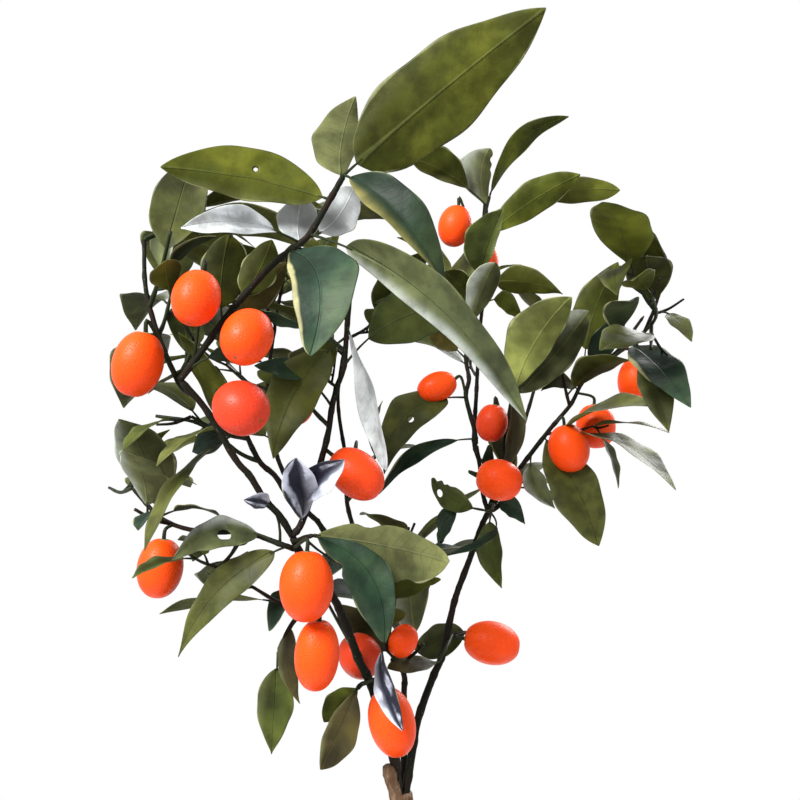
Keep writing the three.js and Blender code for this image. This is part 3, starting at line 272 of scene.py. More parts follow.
MASSES = [
    mass(
        "foliage_top_left", radii=(1.5, 1.2), fill=1,
        stem=[
            (-110, 10, -62), (-99.5, 24, -64), (-84.5, 44.5, -67), (-64.5, 67, -70), (-51.5, 77, -73),
            (-44.5, 84, -75), (-34.5, 101, -78), (-28, 112.5, -80),
        ],
        leaves=[
            leaf(1, (73, 196, -92), 36, 180, "olive", petiole=6.7, sweep=0.01, widest=0.4, pointed=1.4),
            leaf(0.97, (-22.3, 151.7, -60), 18.6, 178, "pale", petiole=2.5, fold=0.2, sweep=0.051,
                 uneven=0.37, widest=0.47, pointed=1.5),
            leaf(0.85, (-119.8, 116.5, -84), 23.3, 200, "lime", petiole=3.1, fold=0.1, sweep=-0.052,
                 uneven=-0.23, widest=0.47, pointed=1.5, hole=(0.42, 0.8)),
            leaf(0.6, (-109.5, 86, -100), 18, 48, "silver", petiole=11.6, fold=0.45, sweep=0.081,
                 twist=40, uneven=-0.2, widest=0.34, pointed=1.5),
            leaf(0.66, (-23, 106.2, -58), 17, 172, "silver", petiole=8.3, arch=0.1, sweep=-0.089,
                 uneven=0.01, widest=0.56, pointed=1.4),
            leaf(0.6, (-48.7, 101.8, -60), 18, 186, "silver", petiole=0.5, arch=0.1, sweep=0.053,
                 uneven=-0.01, widest=0.56, pointed=1.4),
            leaf(1, (22.5, 58, -98), 17.3, -25, "rolled", petiole=3.5, arch=0.16, fold=0.4, sweep=-0.007,
                 twist=60, uneven=-0.15, widest=0.46, pointed=1.7),
            leaf(0.7, (63.5, -10.5, -98), 18.5, 24, "grey", petiole=18, fold=0.3, sweep=-0.127,
                 twist=24, uneven=-0.3, widest=0.36, pointed=1.35),
            leaf(0.53, (-44.5, 22, -104), 27, 8, "teal", petiole=1.1, arch=0.14, sweep=-0.17,
                 uneven=-0.2, widest=0.5, pointed=1.35),
            leaf(0.25, (-85.5, 82.8, -58), 20.6, 184, "lime", petiole=6.3, sweep=0.044, uneven=-0.12,
                 widest=0.55, pointed=1.5),
            leaf(0.33, (-64, 80, -56), 15.8, 172, "olive", petiole=0.6, sweep=-0.027, uneven=0.02,
                 widest=0.5, pointed=1.5),
            leaf(0.2, (-57, 69, -58), 15, 215, "brown", petiole=6.4, sweep=-0.098, uneven=-0.12,
                 widest=0.52, pointed=1.5),
            leaf(0.29, (-48.2, 36, -74), 8, 50, "dark", petiole=12, sweep=-0.13, widest=0.46),
            leaf(0.05, (-69, 19, -54), 10.5, 35, "dark", petiole=9.3, sweep=-0.249, uneven=-0.09,
                 widest=0.45),
        ],
        fruits=[
            fruit(0.2, (-76.5, 31.5, -83), 25, 21.5, -20, 40),
            fruit(0.1, (-102, 51, -80), 24, 20, -10, 20),
        ],
    ),
    mass(
        "foliage_far_left", radii=(1.4, 0.9), fill=6,
        stem=[
            (-103, 2.4, -59.3), (-110, 8, -50), (-120, 30, -50), (-127, 55, -48), (-128, 80, -42),
        ],
        fruits=[
            fruit(0.3, (-131, 18, -62), 29, 22, -15, 0),
        ],
    ),
    mass(
        "foliage_low_left", radii=(1.3, 1), fill=5,
        stem=[
            (-51, -75, -43), (-60, -72, -47), (-78, -66, -36), (-98, -66, -26), (-118, -60, -12),
            (-134, -44, -2),
        ],
        leaves=[
            leaf(0.14, (-111, -128.5, -50), 16.1, 18, "olive", petiole=5.4, sweep=0.101, uneven=-0.07,
                 widest=0.35),
            leaf(0.24, (-114, -80, -64), 17, 34, "grey", petiole=6.3, sweep=0.215, uneven=-0.25,
                 widest=0.42, pointed=1.6, hole=(0.4, 2.8),
                 bites=((0.7, -1, 0.15),)),
            leaf(0.2, (-78, -49.8, -58), 10.1, 40, "withered", petiole=16.6, fold=0.5, sweep=0.29,
                 uneven=-0.18, widest=0.51),
        ],
        fruits=[
            fruit(0.06, (-46.8, -93, -60), 31, 23.6, 0, 5),
            fruit(0.75, (-120, -84, -20), 29, 22, -8, 0),
        ],
    ),
    mass(
        "foliage_centre_top", radii=(1.6, 1.1), fill=6,
        stem=[
            (-54, -68, -44), (-50, -63, -43), (-45, -50, -41), (-39.5, -30.5, -38), (-36, -17, -36),
            (-34, -3.5, -34), (-31.5, 6.5, -32), (-28, 17, -30), (-26.5, 36.5, -28), (-23.5, 70, -26),
            (-24, 77.5, -26),
        ],
        leaves=[
            leaf(0.7, (33, 47, -36), 26.8, 196, "dark", petiole=15.7, sweep=0.123, uneven=-0.05,
                 widest=0.48, pointed=1.6),
            leaf(0.78, (-63.4, -29.3, -44), 24.2, 14, "lime", petiole=9.9, sweep=0.091, uneven=0.05,
                 widest=0.42, pointed=1.7),
            leaf(0.5, (-72.8, 17.3, -46), 15.7, 52, "dark", petiole=16.5, sweep=0.176, uneven=-0.16,
                 widest=0.46),
            leaf(0.8, (-6.8, -35.5, -54), 14, 58, "silver", petiole=4, fold=0.4, sweep=-0.14, twist=34,
                 widest=0.6),
            leaf(0.12, (-52, -29, -62), 16.2, 30, "withered", petiole=0.7, fold=0.55, sweep=0.011,
                 twist=80, uneven=-0.21, widest=0.6, pointed=1.5),
            leaf(0.12, (-28, -29.8, -60), 14.6, -30, "withered", petiole=11.7, fold=0.5, sweep=-0.096,
                 twist=-50, uneven=0.17, widest=0.49),
        ],
        fruits=[
            fruit(0.34, (-22, -37, -38), 28.5, 21.5, 52, 8, 0.6),
        ],
    ),
    mass(
        "foliage_centre_left", radii=(1.4, 1), fill=3,
        stem=[
            (-55, -49.5, -18), (-62.5, -38, -22), (-70, -31, -25), (-77, -17, -30), (-84, 2, -36),
            (-92.5, 17, -42),
        ],
        twigs=[
            twig(0.4, [(-81, -26, -29), (-100, -12, -34), (-122, -8, -30)]),
        ],
        leaves=[
            leaf(0.66, (-104, -26, -22), 15, 30, "dark"),
        ],
        fruits=[
            fruit(0.86, (-79.5, -4, -74), 25, 23, 60, 30, 1),
        ],
    ),
    mass(
        "foliage_lower_left", radii=(1.3, 1), fill=4,
        stem=[
            (-34, -98, -32), (-44, -101, -30), (-54, -112, -29), (-61, -126, -28),
        ],
        leaves=[
            leaf(0.05, (-65.7, -115.4, -40), 12.5, 30, "teal", petiole=13, sweep=0.34, widest=0.55),
            leaf(0.7, (-50.2, -151.9, -34), 10.8, 32, "brown", petiole=0.7, sweep=0.077, uneven=-0.09,
                 widest=0.4),
            leaf(1, (-64.3, -177.2, -26), 17, 4, "green", petiole=7.1, arch=0.05, sweep=-0.004,
                 uneven=-0.03, widest=0.37, pointed=1.9),
        ],
        fruits=[
            fruit(0.2, (-41.5, -127.5, -50), 32, 20.5, -4, 0),
            fruit(0.12, (-20, -128, -3), 24, 21.5, 30, -20, 0.8),
        ],
    ),
    mass(
        "foliage_lower_front", radii=(1.2, 1), fill=0,
        stem=[
            (-15, -141, -14), (-19, -142, -19), (-22, -145, -21),
        ],
        leaves=[
            leaf(1, (-39.8, -184.9, -22), 16, 12, "brown", petiole=0.8, sweep=-0.02, uneven=-0.25,
                 widest=0.5, pointed=1.7),
            leaf(0.8, (-38, -161, -8), 13.5, 160, "green", petiole=0.6, sweep=-0.031, uneven=0.05,
                 widest=0.55),
        ],
        fruits=[
            fruit(0.6, (-4, -161, -29), 32.5, 22, 15, 4),
        ],
    ),
    mass(
        "foliage_lower_centre", radii=(1.2, 0.9), fill=4,
        stem=[
            (1.5, -136, 10), (-2, -130, 2), (-7, -124, -8), (-8.5, -121, -16),
        ],
        leaves=[
            leaf(1, (1.3, -165.4, -50), 11.6, 30, "withered", petiole=4.1, fold=0.6, sweep=0.074,
                 twist=30, uneven=-0.31, widest=0.52, pointed=1.9),
            leaf(0.3, (-33, -102, 32), 16, 20, "brown"),
        ],
        fruits=[
            fruit(0.35, (1.5, -120.5, -8), 17, 14.5, 150, 0),
        ],
    ),
    mass(
        "foliage_low_right", radii=(1.2, 0.9), fill=0,
        stem=[
            (23, -119, 28), (28, -117, 34), (34, -116, 37),
        ],
        twigs=[
            twig(0.3, [(23, -124, 17), (19, -131, 8)]),
        ],
        leaves=[
            leaf(0.9, (7.2, -124.6, 48), 19.5, 24, "green", petiole=0.6, arch=0.04, sweep=-0.05,
                 uneven=0.05, widest=0.45, pointed=1.5),
            leaf(1, (-6.3, -134.1, -12), 12.3, 46, "brown", on=0, petiole=0.7, sweep=-0.023,
                 uneven=-0.15, widest=0.6),
        ],
        fruits=[
            fruit(1, (45.8, -121.5, 28), 30.5, 23, 82, 6),
        ],
    ),
    mass(
        "foliage_middle", radii=(1.2, 1), fill=0,
        stem=[
            (-53, -71, -44), (-48, -69, -48), (-43, -67.5, -52),
        ],
        leaves=[
            leaf(1, (24.8, -80.6, -50), 25.4, 176, "pale", petiole=1.2, arch=0.03, sweep=0.029,
                 uneven=-0.3, widest=0.54, pointed=1.35, bites=((0.36, 1, 0.3), (0.72, -1, 0.16))),
            leaf(0.9, (-7.2, -121.3, -66), 20.2, -8, "dark", petiole=2, sweep=-0.2, twist=-30,
                 uneven=0.21, widest=0.53, pointed=1.7, bites=((0.3, 1, 0.45),)),
            leaf(0.5, (20.4, -89.8, -24), 17.8, 190, "lime", petiole=38, sweep=-0.12, uneven=-0.06,
                 widest=0.45, pointed=1.6, bites=((0.8, 1, 0.4), (0.9, 1, 0.5), (0.86, -1, 0.4))),
        ],
    ),
    mass(
        "foliage_top_right", radii=(1.4, 0.9), fill=1,
        stem=[
            (38, -22, 60), (37, -14, 62), (33, 1.5, 66), (34.5, 10.5, 68), (33, 21, 70), (35, 35, 72),
            (39, 55, 76), (40, 75, 80), (42.5, 92.5, 84), (45, 102.5, 86),
        ],
        leaves=[
            leaf(0.04, (-10.5, -47, 48), 11.7, 40, "teal", petiole=9.2, sweep=0.136, uneven=-0.04,
                 widest=0.46),
            leaf(0.22, (-8, -37, 40), 22.6, 12, "olive", petiole=9.2, sweep=0.225, uneven=-0.03,
                 widest=0.38, pointed=1.5, hole=(0.45, 1.9)),
            leaf(0.44, (12, 45, 56), 16, 200, "brown"),
            leaf(0.62, (22, 64.2, 60), 15.5, 190, "lime", petiole=0.6, sweep=-0.066, uneven=-0.02,
                 widest=0.55),
            leaf(0.57, (47.7, 68.9, 60), 19, 205, "grey", petiole=2, fold=0.3, sweep=0.016,
                 uneven=-0.05, widest=0.6, pointed=1.6),
            leaf(0.6, (60.9, 41.8, 84), 13, 186, "green", petiole=13.2, sweep=0.3, uneven=0.03,
                 widest=0.53),
            leaf(0.68, (81.5, 53, 78), 18.4, 205, "olive", petiole=10.6, sweep=0.071, uneven=0.1,
                 widest=0.33),
            leaf(0.66, (51.7, 95.2, 64), 19.4, 10, "green", petiole=10.2, fold=0.3, sweep=-0.042,
                 uneven=-0.66, widest=0.49, pointed=1.5),
            leaf(0.93, (6.2, 120.2, 70), 18.4, 178, "lime", petiole=15.3, fold=0.2, sweep=-0.07,
                 uneven=-0.39, widest=0.6, pointed=1.4),
            leaf(0.93, (44.9, 126, 72), 24.6, 160, "grey", petiole=0.7, fold=0.4, sweep=0.141,
                 uneven=0.59, widest=0.6, pointed=1.5, bites=((0.8, -1, 0.45), (0.62, -1, 0.25))),
            leaf(1, (84.4, 141.8, 94), 16.6, 226, "green", petiole=1.4, sweep=0.135, uneven=-0.04,
                 widest=0.49),
            leaf(0.8, (90.2, 112.8, 84), 20.7, 192, "green", petiole=8.4, sweep=0.033, uneven=0.07,
                 widest=0.54),
            leaf(0.88, (110, 105, 102), 15.9, 184, "olive", petiole=31, sweep=0.063, uneven=-0.01,
                 widest=0.6),
        ],
        fruits=[
            fruit(0.76, (27.5, 87, 78), 25, 20.5, -12, 0),
            fruit(0.2, (18.5, 6.5, 63), 24, 17.5, -68, 10),
        ],
    ),
    mass(
        "foliage_right_middle", radii=(1.4, 1), fill=0,
        stem=[
            (44, -56, 54), (46, -50, 56), (50, -40, 59), (52.5, -20, 61), (55, -4, 63), (57, 6, 64),
        ],
        twigs=[
            twig(0.14, [(47, -53, 47), (45, -56, 38)]),
        ],
        leaves=[
            leaf(0.78, (85.8, 51.6, 44), 27.7, 184, "light", petiole=13.1, fold=0.12, sweep=0.074,
                 uneven=0.27, widest=0.52, pointed=1.6),
            leaf(0.88, (94.5, 44.5, 60), 30, 176, "grey", petiole=5, fold=0.12, sweep=-0.027,
                 uneven=0.3, widest=0.5, pointed=1.5),
            leaf(0.5, (41, -30, 52), 17, 8, "dark"),
            leaf(0.42, (56.5, 3.5, 44), 17, 56, "brown", petiole=2, fold=0.4, widest=0.5),
            leaf(0.8, (50.8, -94.1, 28), 16, 28, "green", on=0, petiole=6.6, fold=0.2, sweep=0.073,
                 uneven=-0.04, widest=0.4, pointed=1.8),
            leaf(0.16, (62.5, -62.2, 48), 14.4, 40, "dark", petiole=4.6, sweep=-0.3, uneven=-0.13,
                 widest=0.38),
            leaf(0.9, (15.7, -39.2, 40), 13.5, 10, "green", on=0, petiole=9.6, sweep=-0.137,
                 uneven=-0.02, widest=0.52, pointed=1.5, hole=(0.7, 2),
                 bites=((0.72, 1, 0.5), (0.88, 1, 0.6), (0.6, 1, 0.3))),
            leaf(1, (19, -72, 36), 12, 16, "dark", on=0, petiole=15, sweep=0.3, widest=0.5,
                 bites=((0.8, 1, 0.5), (0.9, -1, 0.6))),
            leaf(1, (22.5, -78, 4), 6.5, 40, "dark", on=0, petiole=14, sweep=-0.3, widest=0.5),
        ],
        fruits=[
            fruit(0.34, (49.5, -40, 43), 26, 23, 76, 12),
            fruit(0.62, (46, -11.5, 58), 22, 18.5, -10, 0, 0.7),
        ],
    ),
    mass(
        "foliage_right_outer", radii=(1.4, 0.9), fill=4,
        stem=[
            (60, -34, 64), (68, -23.5, 68), (75.5, -14, 72), (85.5, -2, 76), (91, 8.5, 79),
            (98, 15.5, 82), (110, 26, 84), (122, 42, 82),
        ],
        twigs=[
            twig(0.72, [(110, 24, 62), (122, 34, 26), (128, 42, -10), (126, 52, -42)], fill=6),
        ],
        leaves=[
            leaf(0.1, (77.6, -54.2, 56), 13.7, -20, "grey", petiole=6.2, fold=0.4, sweep=0.17,
                 uneven=0.15, widest=0.4),
            leaf(0.22, (99.5, -73, 56), 28.3, -14, "olive", petiole=2.1, sweep=-0.045, uneven=0.14,
                 widest=0.49, pointed=1.7),
            leaf(0.52, (70.5, 4.5, 70), 12.1, 26, "olive", petiole=1.8, sweep=0.268, uneven=-0.04,
                 widest=0.38),
            leaf(0.58, (114, 44, 70), 17.2, 30, "dark", petiole=11.8, sweep=-0.089, uneven=-0.08,
                 widest=0.4),
            leaf(0.6, (109, 69, 100), 25.9, 186, "lime", petiole=20, sweep=0.066, widest=0.46, pointed=1.6),
        ],
        fruits=[
            fruit(0.32, (84.5, -24, 60), 28, 24, 12, 0),
            fruit(0.5, (98, -13, 78), 27, 23.5, 6, 0),
            fruit(0.85, (118, 10, 78), 28, 22, -6, 0),
        ],
    ),
    mass(
        "foliage_rear_top", radii=(1.4, 0.9), fill=22,
        stem=[
            (39.2, -29, 58.8), (37, -20, 67), (38, 0, 80), (40, 35, 96), (44, 75, 110),
            (42, 112, 118),
        ],
        fruits=[
            fruit(0.95, (41, 70, 130), 28, 22, 0, 0),
        ],
    ),
    mass(
        "foliage_rear_right", radii=(1.4, 0.9), fill=21,
        stem=[
            (42.4, -59.6, 52.4), (46, -54, 63), (53, -40, 77), (62, -12, 100), (70, 16, 116),
            (74, 36, 126),
        ],
        fruits=[
            fruit(0.8, (73, 22, 116), 29, 22, 0, 0),
        ],
    ),
    mass(
        "foliage_rear_left", radii=(1.3, 0.9), fill=9,
        stem=[
            (-49, -54.3, -15), (-53, -46, -4), (-62, -26, 8), (-66, 6, 34), (-62, 40, 56),
            (-56, 72, 68),
        ],
        fruits=[
            fruit(0.6, (-52, 0, 62), 29, 22, 0, 0),
        ],
    ),
    mass(
        "foliage_rear_centre", radii=(1.4, 0.9), fill=18,
        stem=[
            (-14, -92, 70), (-26, -54, 84), (-26, -36, 90), (-31, 0, 98), (-27, 32, 104),
            (-24, 66, 108),
        ],
        fruits=[
            fruit(0.35, (-22, -36, 112), 29, 22, 0, 0),
        ],
    ),
    mass(
        "foliage_rear_low", radii=(1.3, 0.9), fill=16,
        stem=[
            (-13, -102, 64), (-8, -92, 74), (-2, -85, 84), (10, -78, 96), (22, -70, 108),
        ],
        fruits=[
            fruit(0.5, (-7, -78, 112), 29, 22, 0, 0),
        ],
    ),
]


# ---- Curves --------------------------------------------------------------------------------------


def unit(vector):
    """A vector at length 1."""
    return vector / np.linalg.norm(vector)


def lerp(limits, share):
    """The value at a share of the way from one limit to the other."""
    low, high = limits
    return low + (high - low) * share


def spot_point(spot):
    """The place of a spot of the front view, in millimetres."""
    across, rise, depth = spot
    reach = (EYE_BACK + depth) / EYE_BACK
    return np.array((across * reach, depth, EYE_HEIGHT + rise * reach), float)


def sight(points):
    """Where points lie in the front view: across and rise, and how far along the line of sight."""
    reach = (EYE_BACK + points[..., 1]) / EYE_BACK
    return points[..., 0] / reach, (points[..., 2] - EYE_HEIGHT) / reach, reach


# Half the stretch over which a path's direction is taken, and the points that its length is
# measured over
TANGENT_STEP = 1e-4
LENGTH_POINTS = 40


class Path:
    """A smooth curve through points, read at shares from 0 at its root to 1 at its tip."""

    def __init__(self, points):
        points = np.array(points, float)
        before, after = 2 * points[0] - points[1], 2 * points[-1] - points[-2]
        self.knots = np.vstack((before, points, after))
        self.spans = len(points) - 1

    def point(self, share):
        """The point at a share."""
        place = share * self.spans
        span = min(int(place), self.spans - 1)
        along = place - span
        before, start, end, after = self.knots[span:span + 4]
        leaving, arriving = (end - before) / 2, (after - start) / 2
        square = 3 * (end - start) - 2 * leaving - arriving
        cube = 2 * (start - end) + leaving + arriving
        return start + leaving * along + square * along**2 + cube * along**3

    def tangent(self, share):
        """The direction at a share."""
        low, high = max(share - TANGENT_STEP, 0), min(share + TANGENT_STEP, 1)
        return unit(self.point(high) - self.point(low))

    def length(self):
        """The length of the curve, in millimetres."""
        points = np.array([self.point(share) for share in np.linspace(0, 1, LENGTH_POINTS)])
        return np.linalg.norm(np.diff(points, axis=0), axis=1).sum()


def across_to(direction, start):
    """The part of a vector that is square to a direction, at length 1."""
    return unit(start - direction * np.dot(start, direction))


def rings_along(path, steps):
    """Places along a path, each with its share, point, and two directions square to the path."""
    side = across_to(path.tangent(0), SIDE_HINT)
    for share in np.linspace(0, 1, steps + 1):
        tangent = path.tangent(share)
        side = across_to(tangent, side)
        yield share, path.point(share), side, np.cross(side, tangent)


# ---- Leaves and fruits, as measures --------------------------------------------------------------


def blade_outline(share, widest=LEAF_WIDEST, pointed=LEAF_POINTED):
    """Half breadth of the blade, as a share of half its width, from its base to its tip."""
    share = np.clip(share, 0, 1)
    rise, fall = widest * pointed, (1 - widest) * pointed
    return (share / widest) ** rise * ((1 - share) / (1 - widest)) ** fall


def turned(vector, axis, angle):
    """A vector square to an axis, turned about it."""
    return vector * math.cos(angle) + np.cross(axis, vector) * math.sin(angle)


def make_leaf(root, tip, spec, facing):
    """A leaf's place, directions and shape, from its root and tip and what its upper side faces."""
    reach = tip - root
    length = float(np.linalg.norm(reach))
    axis = reach / length
    face = turned(across_to(axis, facing), axis, math.radians(spec.turn))
    return SimpleNamespace(
        root=root, axis=axis, face=face, side=np.cross(axis, face), length=length,
        width=spec.width, petiole=spec.petiole / length, arch=spec.arch, fold=spec.fold,
        sweep=spec.sweep, twist=math.radians(spec.twist), uneven=spec.uneven, widest=spec.widest,
        pointed=spec.pointed, tint=spec.tint, hole=spec.hole, bites=spec.bites)


def leaf_points(leaf, along, across, edge=PETIOLE_RADIUS):
    """Points of a leaf: along runs from 0 at the twig to 1 at the tip, across from -1 to 1."""
    along, across = np.broadcast_arrays(np.asarray(along, float), np.asarray(across, float))
    blade = (along - leaf.petiole) / (1 - leaf.petiole)
    half = leaf.width / 2 * (1 + leaf.uneven * np.sign(across))
    half = half * np.where(blade > 0, blade_outline(blade, leaf.widest, leaf.pointed), 0)
    bow = 4 * along * (1 - along) * leaf.length
    turn = leaf.twist * (along - 0.5)
    cos, sin = np.cos(turn)[..., None], np.sin(turn)[..., None]
    side = leaf.side * cos + leaf.face * sin
    face = leaf.face * cos - leaf.side * sin
    return (leaf.root + leaf.axis * (along * leaf.length)[..., None]
            + (leaf.face * leaf.arch + leaf.side * leaf.sweep) * bow[..., None]
            + side * (across * np.maximum(half, edge))[..., None]
            + face * (leaf.fold * np.abs(across) * half)[..., None])


def make_fruit(root, spec):
    """A fruit's place and directions; its axis points from its stalk to its far end."""
    lean, nod = math.radians(spec.lean), math.radians(spec.nod)
    axis = np.array((math.sin(lean) * math.cos(nod), -math.sin(nod), -math.cos(lean) * math.cos(nod)))
    return SimpleNamespace(root=root, centre=spot_point(spec.centre), axis=axis,
                           length=spec.length, width=spec.width, ripeness=spec.ripeness)


def stalk_path(fruit):
    """A fruit's stalk, which bends over to meet the fruit along its axis."""
    crown = fruit.centre - fruit.axis * fruit.length * FRUIT_CROWN
    knee = crown - fruit.axis * fruit.length * STALK_KNEE
    return Path((fruit.root, knee, crown))


# ---- Seeded growth -------------------------------------------------------------------------------


RANDOM_FACTOR = 1664525
RANDOM_STEP = 1013904223
RANDOM_RANGE = 2**32


def seeded_random(seed):
    """Draws from 0 to 1 that are the same each time."""
    state = seed
    while True:
        state = (state * RANDOM_FACTOR + RANDOM_STEP) % RANDOM_RANGE
        yield state / RANDOM_RANGE


LEAF_PROBES = np.array([(along, across) for along in LEAF_PROBES_ALONG for across in LEAF_PROBES_ACROSS])


class Crown:
    """Everything grown so far: boughs and masses, the room they keep, and what the front shows."""

    def __init__(self):
        self.boughs = [SimpleNamespace(name=b.name, radii=b.radii, path=Path(map_spots(b.spots)))
                       for b in BOUGHS]
        self.masses = [self.grow_mass(spec) for spec in MASSES]
        self.room = np.zeros((0, 3))
        self.room_radii = np.zeros(0)
        self.cover = np.zeros((0, 4))
        for limb in self.boughs:
            self.keep_limb(limb.path)
        for grown in self.masses:
            self.keep_mass(grown)
        draws = seeded_random(SEED)
        for grown in self.masses:
            for carrier, count in ((grown.stem, grown.fill), *((t.path, t.fill) for t in grown.twigs)):
                grown.sprigs += self.sprigs_on(carrier, count, SEEDED_RULE, draws)
        for grown in self.masses:
            grown.sprigs = self.clear_front(grown.sprigs)
        draws = seeded_random(FINE_SEED)
        for grown in self.masses:
            for sprig in grown.sprigs:
                grown.fine_sprigs += self.sprigs_on(sprig.path, FINE_TWIGS, FINE_RULE, draws)
            grown.fine_sprigs = self.clear_front(grown.fine_sprigs)

    def grow_mass(self, spec):
        """A mass's stem, side twigs, laid-out leaves and fruits."""
        stem = Path(map_spots(spec.stem))
        twigs = [SimpleNamespace(path=Path([stem.point(t.at), *map_spots(t.spots)]), fill=t.fill)
                 for t in spec.twigs]
        leaves = []
        for laid in spec.leaves:
            carrier = stem if laid.on is None else twigs[laid.on].path
            root, tip = carrier.point(laid.at), spot_point(laid.tip)
            leaves.append(make_leaf(root, tip, laid, EYE - (root + tip) / 2))
        fruits = [make_fruit(stem.point(f.at), f) for f in spec.fruits]
        return SimpleNamespace(name=spec.name, radii=spec.radii, fill=spec.fill, stem=stem, twigs=twigs,
                               leaves=leaves, fruits=fruits, sprigs=[], fine_sprigs=[])

    def keep(self, points, radius):
        """Keeps the room round points clear."""
        points = np.atleast_2d(points)
        self.room = np.vstack((self.room, points))
        self.room_radii = np.append(self.room_radii, np.full(len(points), radius))

    def keep_limb(self, path):
        """Keeps the room along a limb."""
        self.keep([path.point(share) for share in np.linspace(0, 1, LIMB_PROBES + 1)], LIMB_ROOM)

    def keep_mass(self, grown):
        """Keeps the room of a mass, and notes the discs that it covers in the front view."""
        self.keep_limb(grown.stem)
        for side in grown.twigs:
            self.keep_limb(side.path)
        for laid in grown.leaves:
            self.keep(leaf_points(laid, *LEAF_PROBES.T), LEAF_ROOM)
            middle = leaf_points(laid, COVER_PROBES, 0)
            margins = leaf_points(laid, COVER_PROBES, 1) - leaf_points(laid, COVER_PROBES, -1)
            to_eye = (EYE - middle) / np.linalg.norm(EYE - middle, axis=1)[:, None]
            breadth = np.abs((np.cross(margins, laid.axis) * to_eye).sum(axis=1))
            across, rise, reach = sight(middle)
            discs = np.column_stack((across, rise, breadth / 2 / reach + COVER_MARGIN, reach))
            self.cover = np.vstack((self.cover, discs))
        for hung in grown.fruits:
            for end in FRUIT_PROBES:
                self.keep(hung.centre + hung.axis * end * hung.length, hung.width / 2 + FRUIT_ROOM)
            across, rise, reach = sight(hung.centre)
            self.cover = np.vstack((self.cover, (across, rise, hung.width / 2 / reach, reach)))

    def hidden(self, points):
        """Which points lie over or behind a laid-out leaf or fruit in the front view, or outside its
        window."""
        across, rise, _ = sight(points)
        outside = (np.abs(across) > WINDOW_ACROSS) | (rise > WINDOW_RISE)
        apart = np.hypot(self.cover[:, 0] - across[:, None], self.cover[:, 1] - rise[:, None])
        return outside | (apart < self.cover[:, 2]).any(axis=1)

    def in_front(self, points):
        """Which points stand before a laid-out leaf or fruit in the front view."""
        across, rise, reach = sight(points)
        apart = np.hypot(self.cover[:, 0] - across[:, None], self.cover[:, 1] - rise[:, None])
        nearer = reach[:, None] < self.cover[:, 3] - FRONT_REACH
        return (np.abs(across) < WINDOW_ACROSS) & ((apart < self.cover[:, 2]) & nearer).any(axis=1)

    def clear_front(self, sprigs):
        """The sprigs left once seeded leaves that stand before the laid-out ones are taken away."""
        for sprig in sprigs:
            sprig.leaves = [leaf for leaf in sprig.leaves
                            if self.in_front(leaf_points(leaf, *LEAF_PROBES.T)).sum() < FRONT_PROBES]
        return [sprig for sprig in sprigs if sprig.leaves]

    def fits(self, leaf, hidden_share):
        """Whether a leaf stays in the crown, shows little in the front's gaps and is clear of all else."""
        probes = leaf_points(leaf, *LEAF_PROBES.T)
        if ((((probes - CROWN_CENTRE) / CROWN_REACH) ** 2).sum(axis=1) >= 1).any():
            return False
        if self.hidden(probes).sum() < len(probes) * hidden_share:
            return False
        apart = np.linalg.norm(probes[:, None] - self.room, axis=2)
        return bool((apart > self.room_radii).all())

    def sprigs_on(self, carrier, count, rule, draws):
        """Seeded twigs along a carrier, out of the front's gaps, with the leaves that fit."""
        sprigs = []
        for order in range(count):
            path = self.hidden_twig(carrier, order, count, draws, rule.twig_lengths)
            leaves = self.leaves_on(path, rule, draws) if path else []
            if leaves:
                sprigs.append(SimpleNamespace(path=path, leaves=leaves))
        return sprigs

    def hidden_twig(self, carrier, order, count, draws, lengths):
        """The first of a few seeded twigs whose middle and tip stay out of the front's gaps."""
        for _ in range(TWIG_TRIES):
            path = seeded_twig(carrier, order, count, draws, lengths)
            if self.hidden(np.array([path.point(0.5), path.point(1)])).all():
                return path
        return None

    def leaves_on(self, path, rule, draws):
        """A seeded twig's leaves: for each place, the first of a few tries that fits."""
        leaves = []
        for order in range(rule.leaves):
            tries = [seeded_leaf(path, order, rule, draws) for _ in range(LEAF_TRIES)]
            fitting = next((tried for tried in tries if self.fits(tried, rule.hidden_share)), None)
            if fitting is not None:
                self.keep(leaf_points(fitting, *LEAF_PROBES.T), rule.room)
                leaves.append(fitting)
        return leaves


def map_spots(spots):
    """The places of spots of the front view, in millimetres."""
    return [spot_point(spot) for spot in spots]


def seeded_twig(carrier, order, count, draws, lengths):
    """A seeded twig leaves its carrier in a spiral and rises a little."""
    share = lerp(TWIG_PLACES, (order + TWIG_PLACE_SPREAD * next(draws)) / count)
    if 0 < order == count - 1:
        share = 1
    tangent = carrier.tangent(share)
    side = across_to(tangent, across_to(carrier.tangent(0), SIDE_HINT))
    out = np.cross(side, tangent)
    angle = order * TWIG_SPIRAL + next(draws) * TWIG_SPIRAL_SPREAD
    direction = unit(tangent * TWIG_FORWARD + side * math.cos(angle) + out * math.sin(angle)
                     + UP * TWIG_RISE)
    length = lerp(lengths, next(draws))
    root = carrier.point(share)
    tip = root + direction * length + UP * length * TWIG_TIP_LIFT
    return Path((root, root + direction * length / 2, tip))


